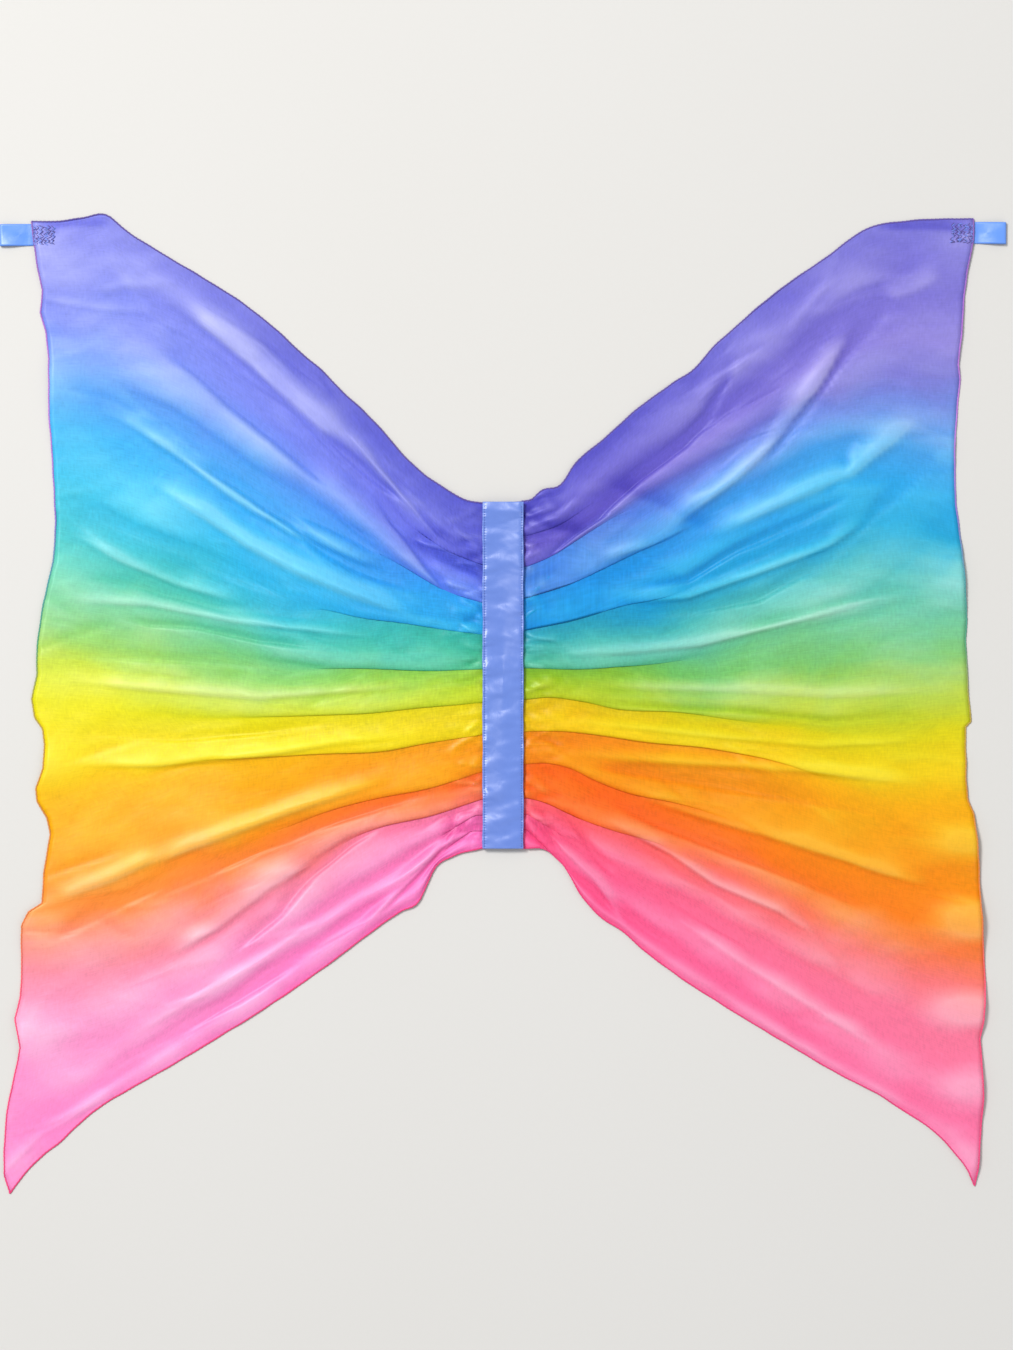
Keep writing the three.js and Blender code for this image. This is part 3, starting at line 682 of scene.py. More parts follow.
# Soft creases between the folds: height, half width, and (|x|, y) points
CREASES = {
    "left": [
        (-1.6, 7, [(118, 196), (102, 168), (87, 150), (68, 123), (53, 106), (20, 92)]),
        (1.0, 4, [(84, 150), (53, 142), (22, 126)]),
        (-2.2, 15, [(320, 333), (277, 303), (241, 270), (216, 248), (184, 222), (149, 193)]),
        (2.0, 14, [(300, 371), (254, 334), (209, 293), (163, 252), (126, 215)]),
        (-1.4, 6, [(170, 255), (149, 233), (126, 212), (110, 199), (84, 183)]),
        (1.2, 5, [(145, 252), (120, 222), (94, 192), (67, 165)]),
        (-1.1, 5, [(126, 233), (105, 210), (81, 181), (61, 158), (37, 142)]),
        (-2.0, 9, [(359, 303), (331, 279), (287, 249), (241, 216), (191, 179), (143, 154), (110, 134)]),
        (2.2, 11, [(373, 274), (332, 252), (286, 222), (241, 188), (186, 156), (131, 133), (94, 119)]),
        (-2.2, 9, [(309, 239), (277, 219), (241, 196), (199, 167), (159, 137), (136, 124), (93, 106),
                (77, 100)]),
        (2.4, 12, [(323, 206), (277, 177), (231, 146), (186, 122), (140, 103), (94, 87), (67, 78)]),
        (-1.6, 8, [(392, 190), (352, 165), (298, 143), (250, 119), (195, 98)]),
        (1.5, 9, [(396, 160), (350, 133), (296, 110), (231, 93)]),
        (-1.2, 6, [(357, 81), (321, 73), (282, 71), (222, 58), (158, 50)]),
        (1.2, 7, [(405, 96), (323, 92), (241, 76), (158, 67), (94, 59)]),
        (-1.0, 6, [(405, 46), (318, 41), (222, 36), (131, 30)]),
        (1.2, 7, [(405, 23), (314, 14), (222, 7), (131, 14), (58, 19)]),
        (-1.0, 5, [(378, -27), (297, -32), (222, -26), (149, -16)]),
        (1.2, 7, [(405, -55), (314, -55), (222, -46), (149, -34), (67, -27)]),
        (1.8, 9, [(341, -153), (291, -133), (241, -114), (186, -94), (147, -81), (94, -64)]),
        (-1.6, 7, [(323, -178), (277, -158), (222, -133), (167, -111), (113, -94), (67, -82)]),
        (-1.8, 8, [(254, -233), (203, -192), (176, -156), (138, -126), (103, -107)]),
        (-1.4, 8, [(421, -220), (361, -189), (302, -160), (264, -144)]),
        (1.6, 10, [(414, -178), (360, -160), (305, -133)]),
        (1.6, 7, [(131, -206), (94, -169), (58, -133), (30, -101)]),
        (-1.4, 5, [(67, -149), (53, -128), (41, -99), (26, -87)]),
        (1.6, 12, [(314, -233), (259, -201), (213, -165), (167, -140)]),
        (1.4, 14, [(350, -307), (286, -270), (222, -233), (158, -188)]),
        (-1.0, 10, [(378, -343), (314, -307), (241, -270), (177, -229)]),
    ],
    "right": [
        (-2.0, 7, [(35, 135), (87, 171), (124, 206), (167, 238), (188, 262), (206, 298), (212, 325)]),
        (2.2, 12, [(136, 152), (170, 176), (212, 207), (254, 247), (285, 287), (307, 325), (327, 363)]),
        (-1.2, 4, [(23, 127), (41, 135), (70, 158), (107, 181)]),
        (-1.6, 6, [(107, 104), (170, 114), (212, 140), (275, 167), (327, 197)]),
        (1.8, 8, [(107, 93), (170, 99), (235, 122), (299, 146), (363, 188)]),
        (-1.5, 7, [(107, 81), (170, 85), (233, 96), (299, 133), (354, 188), (391, 234)]),
        (2.2, 14, [(180, 151), (243, 180), (318, 213), (359, 245), (386, 272)]),
        (-0.7, 8, [(321, 252), (313, 210), (290, 188)]),
        (-1.4, 6, [(107, 32), (191, 37), (233, 51), (285, 67), (318, 75), (359, 87), (401, 100)]),
        (1.6, 7, [(34, 46), (107, 48), (180, 55), (235, 69), (299, 85), (363, 105)]),
        (-1.3, 6, [(201, 64), (275, 83), (339, 100), (380, 108)]),
        (-1.0, 5, [(52, 5), (135, -2), (217, -6), (299, -16), (400, -9)]),
        (1.2, 8, [(52, 18), (135, 16), (217, 14), (299, 9), (400, 14)]),
        (1.2, 7, [(52, -14), (125, -21), (208, -30), (290, -37), (391, -32)]),
        (-1.2, 5, [(31, -93), (38, -105), (48, -122)]),
        (-1.4, 6, [(52, -92), (63, -107), (80, -133), (102, -160)]),
        (1.8, 8, [(89, -101), (155, -136), (194, -163), (253, -188), (294, -214)]),
        (1.6, 7, [(38, -110), (55, -131), (85, -159), (114, -204)]),
        (-1.6, 8, [(89, -87), (135, -107), (199, -133), (272, -160), (345, -192)]),
        (1.6, 10, [(107, -78), (180, -101), (263, -125), (345, -151), (409, -169)]),
        (-1.4, 7, [(52, -52), (125, -64), (199, -76), (272, -87), (363, -101)]),
        (1.8, 9, [(52, -43), (125, -50), (208, -55), (290, -61), (391, -73)]),
        (-1.2, 9, [(125, -160), (199, -206), (272, -242), (345, -279)]),
        (1.4, 12, [(144, -183), (217, -233), (290, -279), (363, -325)]),
        (-1.4, 9, [(235, 215), (272, 261), (304, 307), (336, 343), (363, 380)]),
        (0.8, 12, [(345, 371), (377, 380), (404, 398)]),
        (-1.2, 8, [(336, 169), (368, 197), (400, 233)]),
        (1.0, 6, [(89, 133), (135, 146), (180, 169)]),
    ],
}
# Painted shade: places where two layers lie together and the dye is painted deeper and darker, as
# creases are given
PAINTED_SHADE = {
    "left": [
        (0.55, 12, [(96, 157), (55, 133), (4, 112)]), (0.35, 11, [(70, 164), (38, 144), (2, 128)]),
        (0.3, 8, [(110, 90), (60, 80), (4, 77)]), (0.35, 9, [(352, 441), (392, 440), (428, 436)]),
        (0.45, 15, [(62, -124), (34, -113), (4, -106)]),
    ],
    "right": [
        (0.3, 12, [(85, 208), (141, 187), (198, 156)]), (0.4, 10, [(4, 180), (43, 164), (82, 158)]),
        (0.2, 8, [(20, -92), (50, -108), (84, -136)]), (0.35, 9, [(335, 437), (385, 437), (428, 435)]),
        (0.3, 14, [(4, -104), (28, -116), (50, -140)]),
    ],
}
# Where a side edge stands off the table: middle y, half length, height
SIDE_LIFTS = {
    "left": [
        (431, 22, 1.7), (300, 40, 2.5), (60, 30, 2.0), (-60, 25, 2.5), (-205, 25, 3.0),
        (-300, 30, 2.5),
    ],
    "right": [
        (431, 22, 1.7), (350, 40, 2.0), (120, 30, 2.0), (-124, 22, 7.0), (-196, 24, 8.0),
        (-277, 22, 6.0), (-345, 28, 5.0), (-410, 25, 3.0),
    ],
}

SQUARE = 914.0
SEAM_X = 17.0
CORNER_X, CORNER_Y = 424.0, 431.0
# The silk's grid: columns out from the spine, closer together near it, and rows up the square
ALONG = np.linspace(0.0, 1.0, 100) ** 1.25
UPWARD = np.linspace(0.0, 1.0, 480)
# Share of the square's width: the half strip under the ribbon, and one wing
MIDDLE_SHARE = 0.02
WING_SHARE = 0.48
SILK_THICKNESS = 0.22
# Heights by distance from the spine: the lowest the silk may lie, clear of straps and label
# beneath it; how high it lies between folds; how tall its folds stand; and the highest it may
# reach, clear of the ribbon above it
FLOOR = [(17, 2.55), (24, 2.3), (60, 1.9), (125, 1.35), (190, 0.25), (470, 0.25)]
LIFT = [(17, 2.75), (60, 2.6), (125, 1.8), (190, 0.8), (470, 0.5)]
ROLL = [
    (17, 1.5), (24, 1.6), (40, 2.1), (80, 3.4), (130, 4.3), (210, 4.3), (300, 3.4), (390, 2.0),
    (470, 0.7),
]
CEILING = [(17, 6.3), (20, 6.6), (30, 11.0), (60, 14.0), (470, 14.0)]
# Painted light by distance from the spine, added to the crest: the dye is painted deeper and darker
# near the spine, as shade among the gathers that lie in several layers there, and paler further out,
# as light through the single outer silk
PAINTED_LIGHT_BY_DISTANCE = [(17, -0.42), (65, -0.36), (120, -0.24), (200, -0.04), (330, 0.12), (470, 0.18)]


def by_distance(table, x):
    """A value at each x from a table of (distance from the spine, value) pairs."""
    place, value = np.array(table, float).T
    return np.interp(x, place, value)


def blurred(values, sigma, axis):
    """Gaussian smoothing along one axis. Past each end the values run on mirrored through the
    end value, so the ends stay where they are."""
    reach = int(3 * sigma) + 1
    weight = np.exp(-0.5 * (np.arange(-reach, reach + 1) / sigma) ** 2)
    weight /= weight.sum()
    pads = [(0, 0), (0, 0)]
    pads[axis] = (reach, reach)
    padded = np.pad(values, pads, mode="reflect", reflect_type="odd")
    count = values.shape[axis]
    shifted = (w * np.take(padded, np.arange(k, k + count), axis) for k, w in enumerate(weight))
    return sum(shifted)


# Width of a crease's steep lower side, as a share of its upper side
STEEP_SIDE = 0.35


def soft_floor(values, floor, softness):
    """Values that bend over to level out at the floor: far above it they stay as they are."""
    above = np.clip((values - floor) / softness, -30.0, 30.0)
    return floor + softness * np.log1p(np.exp(above))


def crease_height(x, y, creases):
    """Sum of soft ridges and valleys. The cross-section of each is half a wide bell curve on the
    upper side of its line of points and half a narrow one on the lower side, and it swells
    from nothing at one end of the line to nothing at the other."""
    total = np.zeros_like(x)
    for height, half_width, points in creases:
        points = np.array(points, float)
        start = points[:-1, :, None, None]
        run = (points[1:] - points[:-1])[:, :, None, None]
        length = np.hypot(run[:, 0], run[:, 1])
        t = ((x - start[:, 0]) * run[:, 0] + (y - start[:, 1]) * run[:, 1]) / length ** 2
        t = np.clip(t, 0.0, 1.0)
        off_x, off_y = x - start[:, 0] - t * run[:, 0], y - start[:, 1] - t * run[:, 1]
        distance = np.hypot(off_x, off_y)
        above = np.where(run[:, 0] > 0, 1.0, -1.0) * (run[:, 0] * off_y - run[:, 1] * off_x)
        before = np.concatenate([[0.0], np.cumsum(length.ravel())])
        along = (before[:-1, None, None] + t * length) / before[-1]
        nearest = distance.argmin(axis=0)[None]
        distance = np.take_along_axis(distance, nearest, 0)[0]
        along = np.take_along_axis(along, nearest, 0)[0]
        below = np.take_along_axis(above, nearest, 0)[0] < 0
        wide = half_width * np.where(below, STEEP_SIDE, 1.0)
        swell = smooth_step(along, 0.0, 0.25) * (1.0 - smooth_step(along, 0.75, 1.0))
        total += height * swell * np.exp(-(distance / wide) ** 2)
    return total


def ripples(x, y, seed, count, shortest, longest, tilt):
    """Sum of seeded sine waves across the silk, of lengths between shortest and longest, whose
    crests lie within tilt of the X axis. Its values stay near -1 to 1."""
    random = np.random.default_rng(seed)
    length = np.exp(random.uniform(math.log(shortest), math.log(longest), count))
    turn = random.uniform(-tilt, tilt, count)
    phase = random.uniform(0, 2 * math.pi, count)
    total = np.zeros_like(x)
    for wave, angle, start in zip(length, turn, phase):
        across = (y * math.cos(angle) + x * math.sin(angle)) * 2 * math.pi / wave
        total += np.sin(across + start)
    return total / math.sqrt(count)


def fine_creases(x, y, seed, count):
    """Many short, narrow ridges and valleys, each starting at a random point of the silk and
    running roughly along the row through it."""
    random = np.random.default_rng(seed)
    rows, columns = x.shape
    i = random.integers(4, rows - 4, count)
    j = (random.uniform(0.0, 1.0, count) ** 1.2 * (columns - 8)).astype(int) + 2
    slope = np.arctan2(y[i, j + 4] - y[i, j], x[i, j + 4] - x[i, j])
    angle = slope + random.normal(0.0, 0.26, count)
    bend_by = random.normal(0.0, 0.16, count)
    length = random.uniform(34.0, 150.0, count) * (0.45 + 0.55 * x[i, j] / 250.0).clip(0.45, 1.2)
    half_width = random.uniform(2.4, 6.5, count) * (0.5 + 0.5 * length / 80.0).clip(0.6, 1.2)
    height = half_width * random.uniform(0.06, 0.16, count) * random.choice([-1.0, 1.0], count)
    half = length / 2
    middle = np.stack([x[i, j] + half * np.cos(angle), y[i, j] + half * np.sin(angle)], -1)
    last = middle + np.stack([half * np.cos(angle + bend_by), half * np.sin(angle + bend_by)], -1)
    first = np.stack([x[i, j], y[i, j]], -1)
    lines = np.stack([first, middle, last], 1)
    return list(zip(height, half_width, lines))


def gather_creases(seed, count):
    """Short ridges that start at the ribbon's edge and fan out at all angles from its stitches."""
    random = np.random.default_rng(seed)
    low, high = SPINE_BOTTOM + 6.0, SPINE_TOP - 6.0
    y = np.linspace(low, high, count) + random.normal(0.0, 3.5, count)
    angle = (y - 20.0) / 330.0 + random.normal(0.0, 0.6, count)
    length = random.uniform(16.0, 46.0, count)
    half_width = random.uniform(2.2, 4.6, count)
    height = random.uniform(0.7, 1.7, count) * random.choice([-0.8, 1.0, 1.0], count)
    first = np.stack([np.full(count, RIBBON_EDGE - 4.0), y], -1)
    way = np.stack([np.cos(angle), np.sin(angle)], -1) * length[:, None]
    lines = np.stack([first, first + 0.5 * way, first + way], 1)
    return list(zip(height, half_width, lines))


# How a fold lies, as shares: the lip is the height at which its upper layer ends and the bed
# that of the layer beneath; a fold is at most so steep, and hides at most so much of the silk
LIP, BED = 0.14, 0.1
STEEPEST = 0.32
HIDDEN_SILK, HIDDEN_GAP = 0.95, 0.8


def laid_in_folds(side, x, seed):
    """Heights y and z of a wing's points on the table, pleated but otherwise smooth.

    A row lies between the lines of the two folds round it. In a fold the silk turns back under
    itself: y runs down to the fold's line, back up by a little, and down to the line again,
    while z steps from the upper layer to the lower one. Between folds the silk rises from
    beneath the fold above to a rounded crest and drops to the next edge."""
    folds = FOLDS[side]
    share = np.array([fold[0] for fold in folds], float)
    v = np.broadcast_to(UPWARD[:, None], x.shape)
    line = np.array([smooth_line(fold[3], x) for fold in folds])
    half = np.array([
        fold[1] * (1.0 - smooth_step(x, 0.35 * fold[2], fold[2])) if fold[2] else np.zeros_like(x)
        for fold in folds
    ])
    gap = np.diff(line, axis=0)
    lift, roll = by_distance(LIFT, x), by_distance(ROLL, x)
    random = np.random.default_rng(seed)
    y, z = np.zeros_like(x), np.zeros_like(x)
    tall = []
    for k in range(len(folds) - 1):
        tall.append(np.minimum(roll * random.uniform(0.8, 1.15), STEEPEST * gap[k]))
        low = share[k] + half[k]
        high = share[k + 1] - half[k + 1]
        t = np.clip((high - v) / (high - low), 0.0, 1.0)
        fading = half[k] / max(folds[k][1], 1e-6)
        rise = smooth_step(t, 0.0, 0.8)
        drop = 1.0 - (1.0 - LIP * fading) * smooth_step(t, 0.88 - 0.32 * (1.0 - fading), 1.0)
        inside = (v >= low) & (v <= high)
        y = np.where(inside, line[k] + (1.0 - t) * gap[k], y)
        z = np.where(inside, lift + tall[k] * rise * drop, z)
    for k in range(1, len(folds) - 1):
        fading = half[k] / max(folds[k][1], 1e-6)
        deep = np.minimum(HIDDEN_SILK * SQUARE * half[k], HIDDEN_GAP * gap[k] * fading)
        away = (v - share[k]) / np.maximum(half[k], 1e-9)
        turned = 1.0 - np.abs(away)
        inside = turned > 0
        lip, bed = LIP * tall[k] * fading, BED * tall[k] * fading
        layer = np.where(away > 0, lip + (bed - lip) * turned, bed * turned)
        y = np.where(inside, line[k] + deep * turned, y)
        z = np.where(inside, lift + layer, z)
    open_out = smooth_step(x, 50.0, 190.0)
    sharp_y, sharp_z = blurred(y, 1.1, 0), blurred(z, 1.1, 0)
    y = sharp_y + (blurred(y, 7.0, 0) - sharp_y) * open_out
    z = sharp_z + (blurred(z, 5.0, 0) - sharp_z) * open_out
    return y, z


def creased(side, x, y, z, side_x, seed):
    """Height z with the small relief added: creases, gathers at the ribbon, ripples, puckers
    at the seam, the bunched corner and the lifted side edge."""
    free = smooth_step(x, 20.0, 60.0)
    z = z + free * 2.0 * crease_height(x, y, CREASES[side])
    z = z + free * 0.8 * crease_height(x, y, fine_creases(x, y, seed + 4, 130))
    z = z + smooth_step(x, 18.5, 27.0) * crease_height(x, y, gather_creases(seed + 5, 44))
    z = z + free * 0.6 * ripples(x, y, seed + 1, 9, 60.0, 170.0, 0.9)
    z = z + free * 0.14 * ripples(x, y, seed + 2, 14, 16.0, 40.0, 0.9)
    puckers = np.exp(-(x - SEAM_X) / 28.0)
    z = z + puckers * 0.65 * ripples(x * 0.8, y, seed + 3, 10, 9.0, 20.0, 1.0)
    corner = np.exp(-(((x - CORNER_X) / 12.0) ** 2 + ((y - CORNER_Y) / 11.0) ** 2))
    z = z + corner * 0.6 * ripples(y, x, seed + 6, 8, 5.0, 11.0, 0.7)
    outer = smooth_step(x / side_x[:, None], 0.84, 1.0)
    stand = sum(h * np.exp(-((y - at) / wide) ** 2) for at, wide, h in SIDE_LIFTS[side])
    z = soft_floor(z + outer * stand, by_distance(FLOOR, x), 0.35)
    return np.minimum(z, by_distance(CEILING, x))


def wing_surface(side, seed):
    """Points of one wing as (rows up the silk, columns out from the spine), and its crest: how
    far each point stands out of its surroundings, which the silk paints as a highlight where
    high and as shade where low, with more painted shade near the spine and where layers lie
    together, and painted paleness further out.
    Across, a point is the same share of the way from the seam to the side edge in every row."""
    share = np.array([fold[0] for fold in FOLDS[side]], float)
    at_side = np.array([fold[3][-1][1] for fold in FOLDS[side]], float)
    outline = np.array(SIDES[side][::-1], float)
    side_x = np.interp(np.interp(UPWARD, share, at_side), outline[:, 1], outline[:, 0])
    x = SEAM_X + (side_x - SEAM_X)[:, None] * ALONG[None, :]
    y, z = laid_in_folds(side, x, seed)
    z = creased(side, x, y, z, side_x, seed)
    relief = z - blurred(blurred(z, 14.0, 0), 5.0, 1)
    # Painted light carried in the crest: raised places get a painted highlight and low ones painted
    # shade, with more painted shade near the spine and where layers lie together
    crest = np.clip(0.5 + relief / 5.0, 0.35, 1.0) + by_distance(PAINTED_LIGHT_BY_DISTANCE, x)
    crest = crest - crease_height(x, y, PAINTED_SHADE[side])
    return np.stack([SIGN[side] * x, y, z], -1), crest


def add_silk(name, points, crest, share_x, material, flip):
    """A sheet of silk from a grid of points, with its flat shape kept as UV coordinates."""
    rows, columns = points.shape[:2]
    faces = grid_faces(rows, columns, flip)
    uv = grid_uv(share_x, UPWARD)
    silk = add_piece(name, points.reshape(-1, 3), faces, material, uv=uv, crest=crest)
    add_wall(silk, SILK_THICKNESS)
    return silk


def resampled(line, values, step):
    """A line of points and a value on it, at even steps of its length, and those lengths."""
    length = length_along(line)
    at = np.linspace(0.0, length[-1], int(length[-1] / step) + 1)
    even = np.stack([np.interp(at, length, line[:, k]) for k in range(3)], -1)
    return even, np.interp(at, length, values), at


HEM_STEP = 0.62
HEM_TURN = 1.9
HEM_HALF_WIDTH, HEM_HALF_HEIGHT = 0.74, 0.62
HEM_REST = 0.75


def add_hem(name, line, share, material):
    """Rolled hem: a bead along an edge of the silk, drawn in by each turn of the overlock
    thread, so that its radius is wavy, and wandering a little from side to side."""
    line, share, at = resampled(line, share, HEM_STEP)
    turns = at * 2 * math.pi / HEM_TURN
    across, _ = frames(np.gradient(line, axis=0))
    sway = 0.12 * np.sin(turns / 2) + 0.2 * np.sin(at / 5.1) * np.sin(at / 17.0)
    line = line + across * sway[:, None]
    line[:, 2] = np.maximum(line[:, 2], HEM_REST)
    waist = 1.0 + 0.16 * np.sin(turns)
    return add_tube(name, line, HEM_HALF_WIDTH * waist, HEM_HALF_HEIGHT * waist, material, share)


def bend(piece):
    """Bakes the piece's placement into its mesh."""
    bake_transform(piece)


def add_wing(side, seed):
    """One wing of silk with hems on its three free edges; the side hem is attached to the wing's body.
    """
    points, crest = wing_surface(side, seed)
    sign = SIGN[side]
    share_x = 0.5 + sign * (MIDDLE_SHARE + WING_SHARE * ALONG)
    silk = add_silk(f"wing_silk_{side}", points, crest, share_x, SILK[side], side == "right")
    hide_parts(f"silk_wing_{side}")
    hems = {
        "top": add_hem(f"top_hem_{side}", points[-1], share_x, HEM["top"]),
        "bottom": add_hem(f"bottom_hem_{side}", points[0], share_x, HEM["bottom"]),
        "side": add_hem(f"side_hem_{side}", points[:, -1], UPWARD, HEM["side"]),
    }
    for edge, hem in hems.items():
        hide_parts(f"hem_{edge}_{side}")
    for piece in (silk, hems["top"], hems["bottom"]):
        bend(piece)
    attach(hems["side"], f"{side}_wing")
    return points, crest


def add_gathered_middle(left, right):
    """The strip of silk between the two ribbons. Each row goes straight from the left wing's
    first column to the right wing's, so the folds run on beneath the ribbon."""
    across = np.linspace(0.0, 1.0, 14)
    start, end = left[0][:, :1], right[0][:, :1]
    points = start + (end - start) * across[None, :, None]
    crest = left[1][:, :1] + (right[1][:, :1] - left[1][:, :1]) * across[None, :]
    share_x = WING_SHARE + 2 * MIDDLE_SHARE * across
    silk = add_silk("gathered_silk", points, crest, share_x, SILK["left"], True)
    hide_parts("silk_gather_core")
    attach(silk, "spine")


# ---------------------------------------------------------------- the spine

STITCH_PITCH = 2.4
LOWEST_DIP = -0.6
RIBBON_THICKNESS = 0.3
RIBBON_COLUMNS = 45
# Length of ribbon turned in at each end, and the points along it
INSET, LAP_POINTS = 6.5, 12


def ribbon_height(x, y, seed, lumps):
    """How far the ribbon stands from its plane: low waves where it lies over the gathers, and
    dimples with short puckers along both rows of stitches."""
    wave = ripples(x, y, seed, 9, 22.0, 62.0, 0.85)
    fine = ripples(x, y, seed + 1, 8, 7.0, 14.0, 1.0)
    from_row = np.abs(np.abs(x) - STITCH_LINE)
    stitch = 2 * math.pi * y / STITCH_PITCH
    dimple = np.exp(-(from_row / 1.4) ** 2) * (0.6 + 0.4 * np.cos(stitch))
    pucker = np.exp(-from_row / 4.2) * np.sin(2 * math.pi * y / 8.5 + np.sign(x) + 1.4 * wave)
    inner = 1.0 - smooth_step(np.abs(x), 15.0, 19.0)
    height = lumps * (wave * (0.35 + 0.65 * inner) + 0.16 * fine) + 0.2 * pucker
    return soft_floor(height, LOWEST_DIP, 0.12) - 0.45 * dimple


# Height of the main face, which way it faces, seed and height of its waves, and how far the
# turned-in ends lie from it
RIBBONS = {
    "front": {"plane": FRONT_FACE + 0.15, "out": 1.0, "seed": 31, "lumps": 0.8, "turned": 1.05},
    "back": {"plane": BACK_FACE + 0.25, "out": -1.0, "seed": 47, "lumps": 0.10, "turned": 0.75},
}


def ribbon_surface(kind, x, y):
    """Height z of a ribbon's main face at points (x, y)."""
    how = RIBBONS[kind]
    return how["plane"] + how["out"] * ribbon_height(x, y, how["seed"], how["lumps"])


def add_ribbon(kind):
    """Satin ribbon sewn along the spine, with its two ends turned in beneath it. Its profile
    runs along a short turned-in end, round a half circle, up the whole length and back in."""
    how = RIBBONS[kind]
    turn_radius = how["turned"] / 2
    half_turn = np.linspace(0, math.pi, 9)[1:-1]
    lap = np.linspace(INSET, 0, LAP_POINTS)
    straight = np.arange(SPINE_BOTTOM + turn_radius, SPINE_TOP - turn_radius, 0.72)
    low, high = straight[0], straight[-1]
    y = np.concatenate([
        low + lap, low - turn_radius * np.sin(half_turn),
        straight,
        high + turn_radius * np.sin(half_turn), high - lap[::-1],
    ])
    turned_in = np.concatenate([
        np.full(LAP_POINTS, how["turned"]), turn_radius * (1 + np.cos(half_turn)),
        np.zeros(len(straight)),
        turn_radius * (1 - np.cos(half_turn)), np.full(LAP_POINTS, how["turned"]),
    ])
    x = np.linspace(-1.0, 1.0, RIBBON_COLUMNS) * (RIBBON_EDGE - 0.35)
    wander = 0.22 * np.sin(y / 9.0 + how["seed"]) + 0.13 * np.sin(y / 3.7)
    grid_x = x[None, :] + wander[:, None] * (np.abs(x)[None, :] / RIBBON_EDGE) ** 3
    grid_y = np.repeat(y[:, None], RIBBON_COLUMNS, 1)
    z = ribbon_surface(kind, grid_x, grid_y) - how["out"] * turned_in[:, None]
    points = np.stack([grid_x, grid_y, z], -1).reshape(-1, 3)
    distance = length_along(np.stack([y, turned_in], -1))
    faces = grid_faces(len(y), RIBBON_COLUMNS, kind == "front")
    ribbon = add_piece(f"ribbon_{kind}", points, faces, SATIN, uv=grid_uv(x, distance))
    add_wall(ribbon, RIBBON_THICKNESS)
    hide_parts(f"spine_ribbon_{kind}")
    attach(ribbon, "spine")


def level(height):
    """A flat surface z(x, y)."""
    return lambda x, y: np.full(len(x), height)


def row_of_stitches(x, low, high, pitch, length, surface):
    """Starts and ends of a row of stitches at one x, lying on a surface z(x, y)."""
    start = np.arange(low, high - length, pitch)
    at = np.full(len(start), float(x))
    return [np.stack([at, y, surface(at, y)], -1) for y in (start, start + length)]


def add_spine():
    """Both ribbons, their topstitching, and the running stitches that draw up the gathers."""
    add_ribbon("back")
    add_ribbon("front")
    for side, sign in SIGN.items():
        for kind, out in (("front", 1.0), ("back", -1.0)):
            starts, ends = row_of_stitches(
                sign * STITCH_LINE, SPINE_BOTTOM + 1.4, SPINE_TOP - 1.4, STITCH_PITCH, 1.75,
                lambda x, y: ribbon_surface(kind, x, y) + 0.22 * out)
            row = add_stitches(f"topstitch_{kind}_{side}", starts, ends, 0.3, 0.16 * out, BLUE_THREAD)
            if kind == "front":
                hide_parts(f"spine_topstitch_{side}")
            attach(row, "spine")
        low, high = node_box(f"gathering_thread_{side}")
        starts, ends = row_of_stitches(
            (low[0] + high[0]) / 2, low[1], high[1], 6.0, 3.6, level((low[2] + high[2]) / 2 - 0.06))
        row = add_stitches(f"gathering_stitches_{side}", starts, ends, 0.17, 0.05, WHITE_THREAD)
        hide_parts(f"gathering_thread_{side}")
        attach(row, "spine")


# ---------------------------------------------------------------- loops, straps and label

LOOP_THICKNESS, STRAP_THICKNESS, LABEL_THICKNESS = 0.32, 0.7, 0.22


def add_finger_loop(side):
    """Ribbon loop sewn to the wing's top corner. Its section is a flattened drop: both ends lie
    together beneath the silk, and the two layers part towards a rounded outer bend."""
    low, high = node_box(f"finger_loop_{side}")
    sign = SIGN[side]
    tip = max(abs(low[0]), abs(high[0])) - 0.35
    root, bend_radius = 424.5, 1.9
    bed, layer = 0.42, 0.4
    flat = np.linspace(root, tip - bend_radius, 26)
    angle = np.linspace(-math.pi / 2, math.pi / 2, 11)[1:-1]
    part = smooth_step(flat, root + 4.0, tip - bend_radius)
    high_z = bed + layer + (2 * bend_radius - layer) * part
    bottom = np.stack([flat, np.full(len(flat), bed)], -1)
    outer = np.stack([tip - bend_radius + bend_radius * np.cos(angle),
                      bed + bend_radius + bend_radius * np.sin(angle)], -1)
    top = np.stack([flat[::-1], high_z[::-1]], -1)
    profile = np.concatenate([bottom, outer, top])
    columns = 15
    across = np.linspace(-1, 1, columns)
    centre, half = (low[1] + high[1]) / 2, (high[1] - low[1]) / 2 - 0.15
    x = np.repeat(profile[:, :1], columns, 1)
    y = np.repeat(centre + half * across[None, :], len(profile), 0)
    slant = 0.02 * (x - root)
    wave = 0.22 * np.sin(x / 4.1 + 1.3 * across[None, :]) * smooth_step(x, root + 5, root + 12)
    z = profile[:, 1:] + wave * (profile[:, 1:] > 1.0) + 0.12 * (across[None, :] ** 2)
    points = np.stack([sign * x, y - slant, z], -1).reshape(-1, 3)
    uv = grid_uv(across * half, length_along(profile))
    faces = grid_faces(len(profile), columns, side == "left")
    loop = add_piece(f"finger_loop_ribbon_{side}", points, faces, LOOP_SATIN, uv=uv)
    add_wall(loop, LOOP_THICKNESS)
    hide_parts(f"finger_loop_{side}")
    bend(loop)


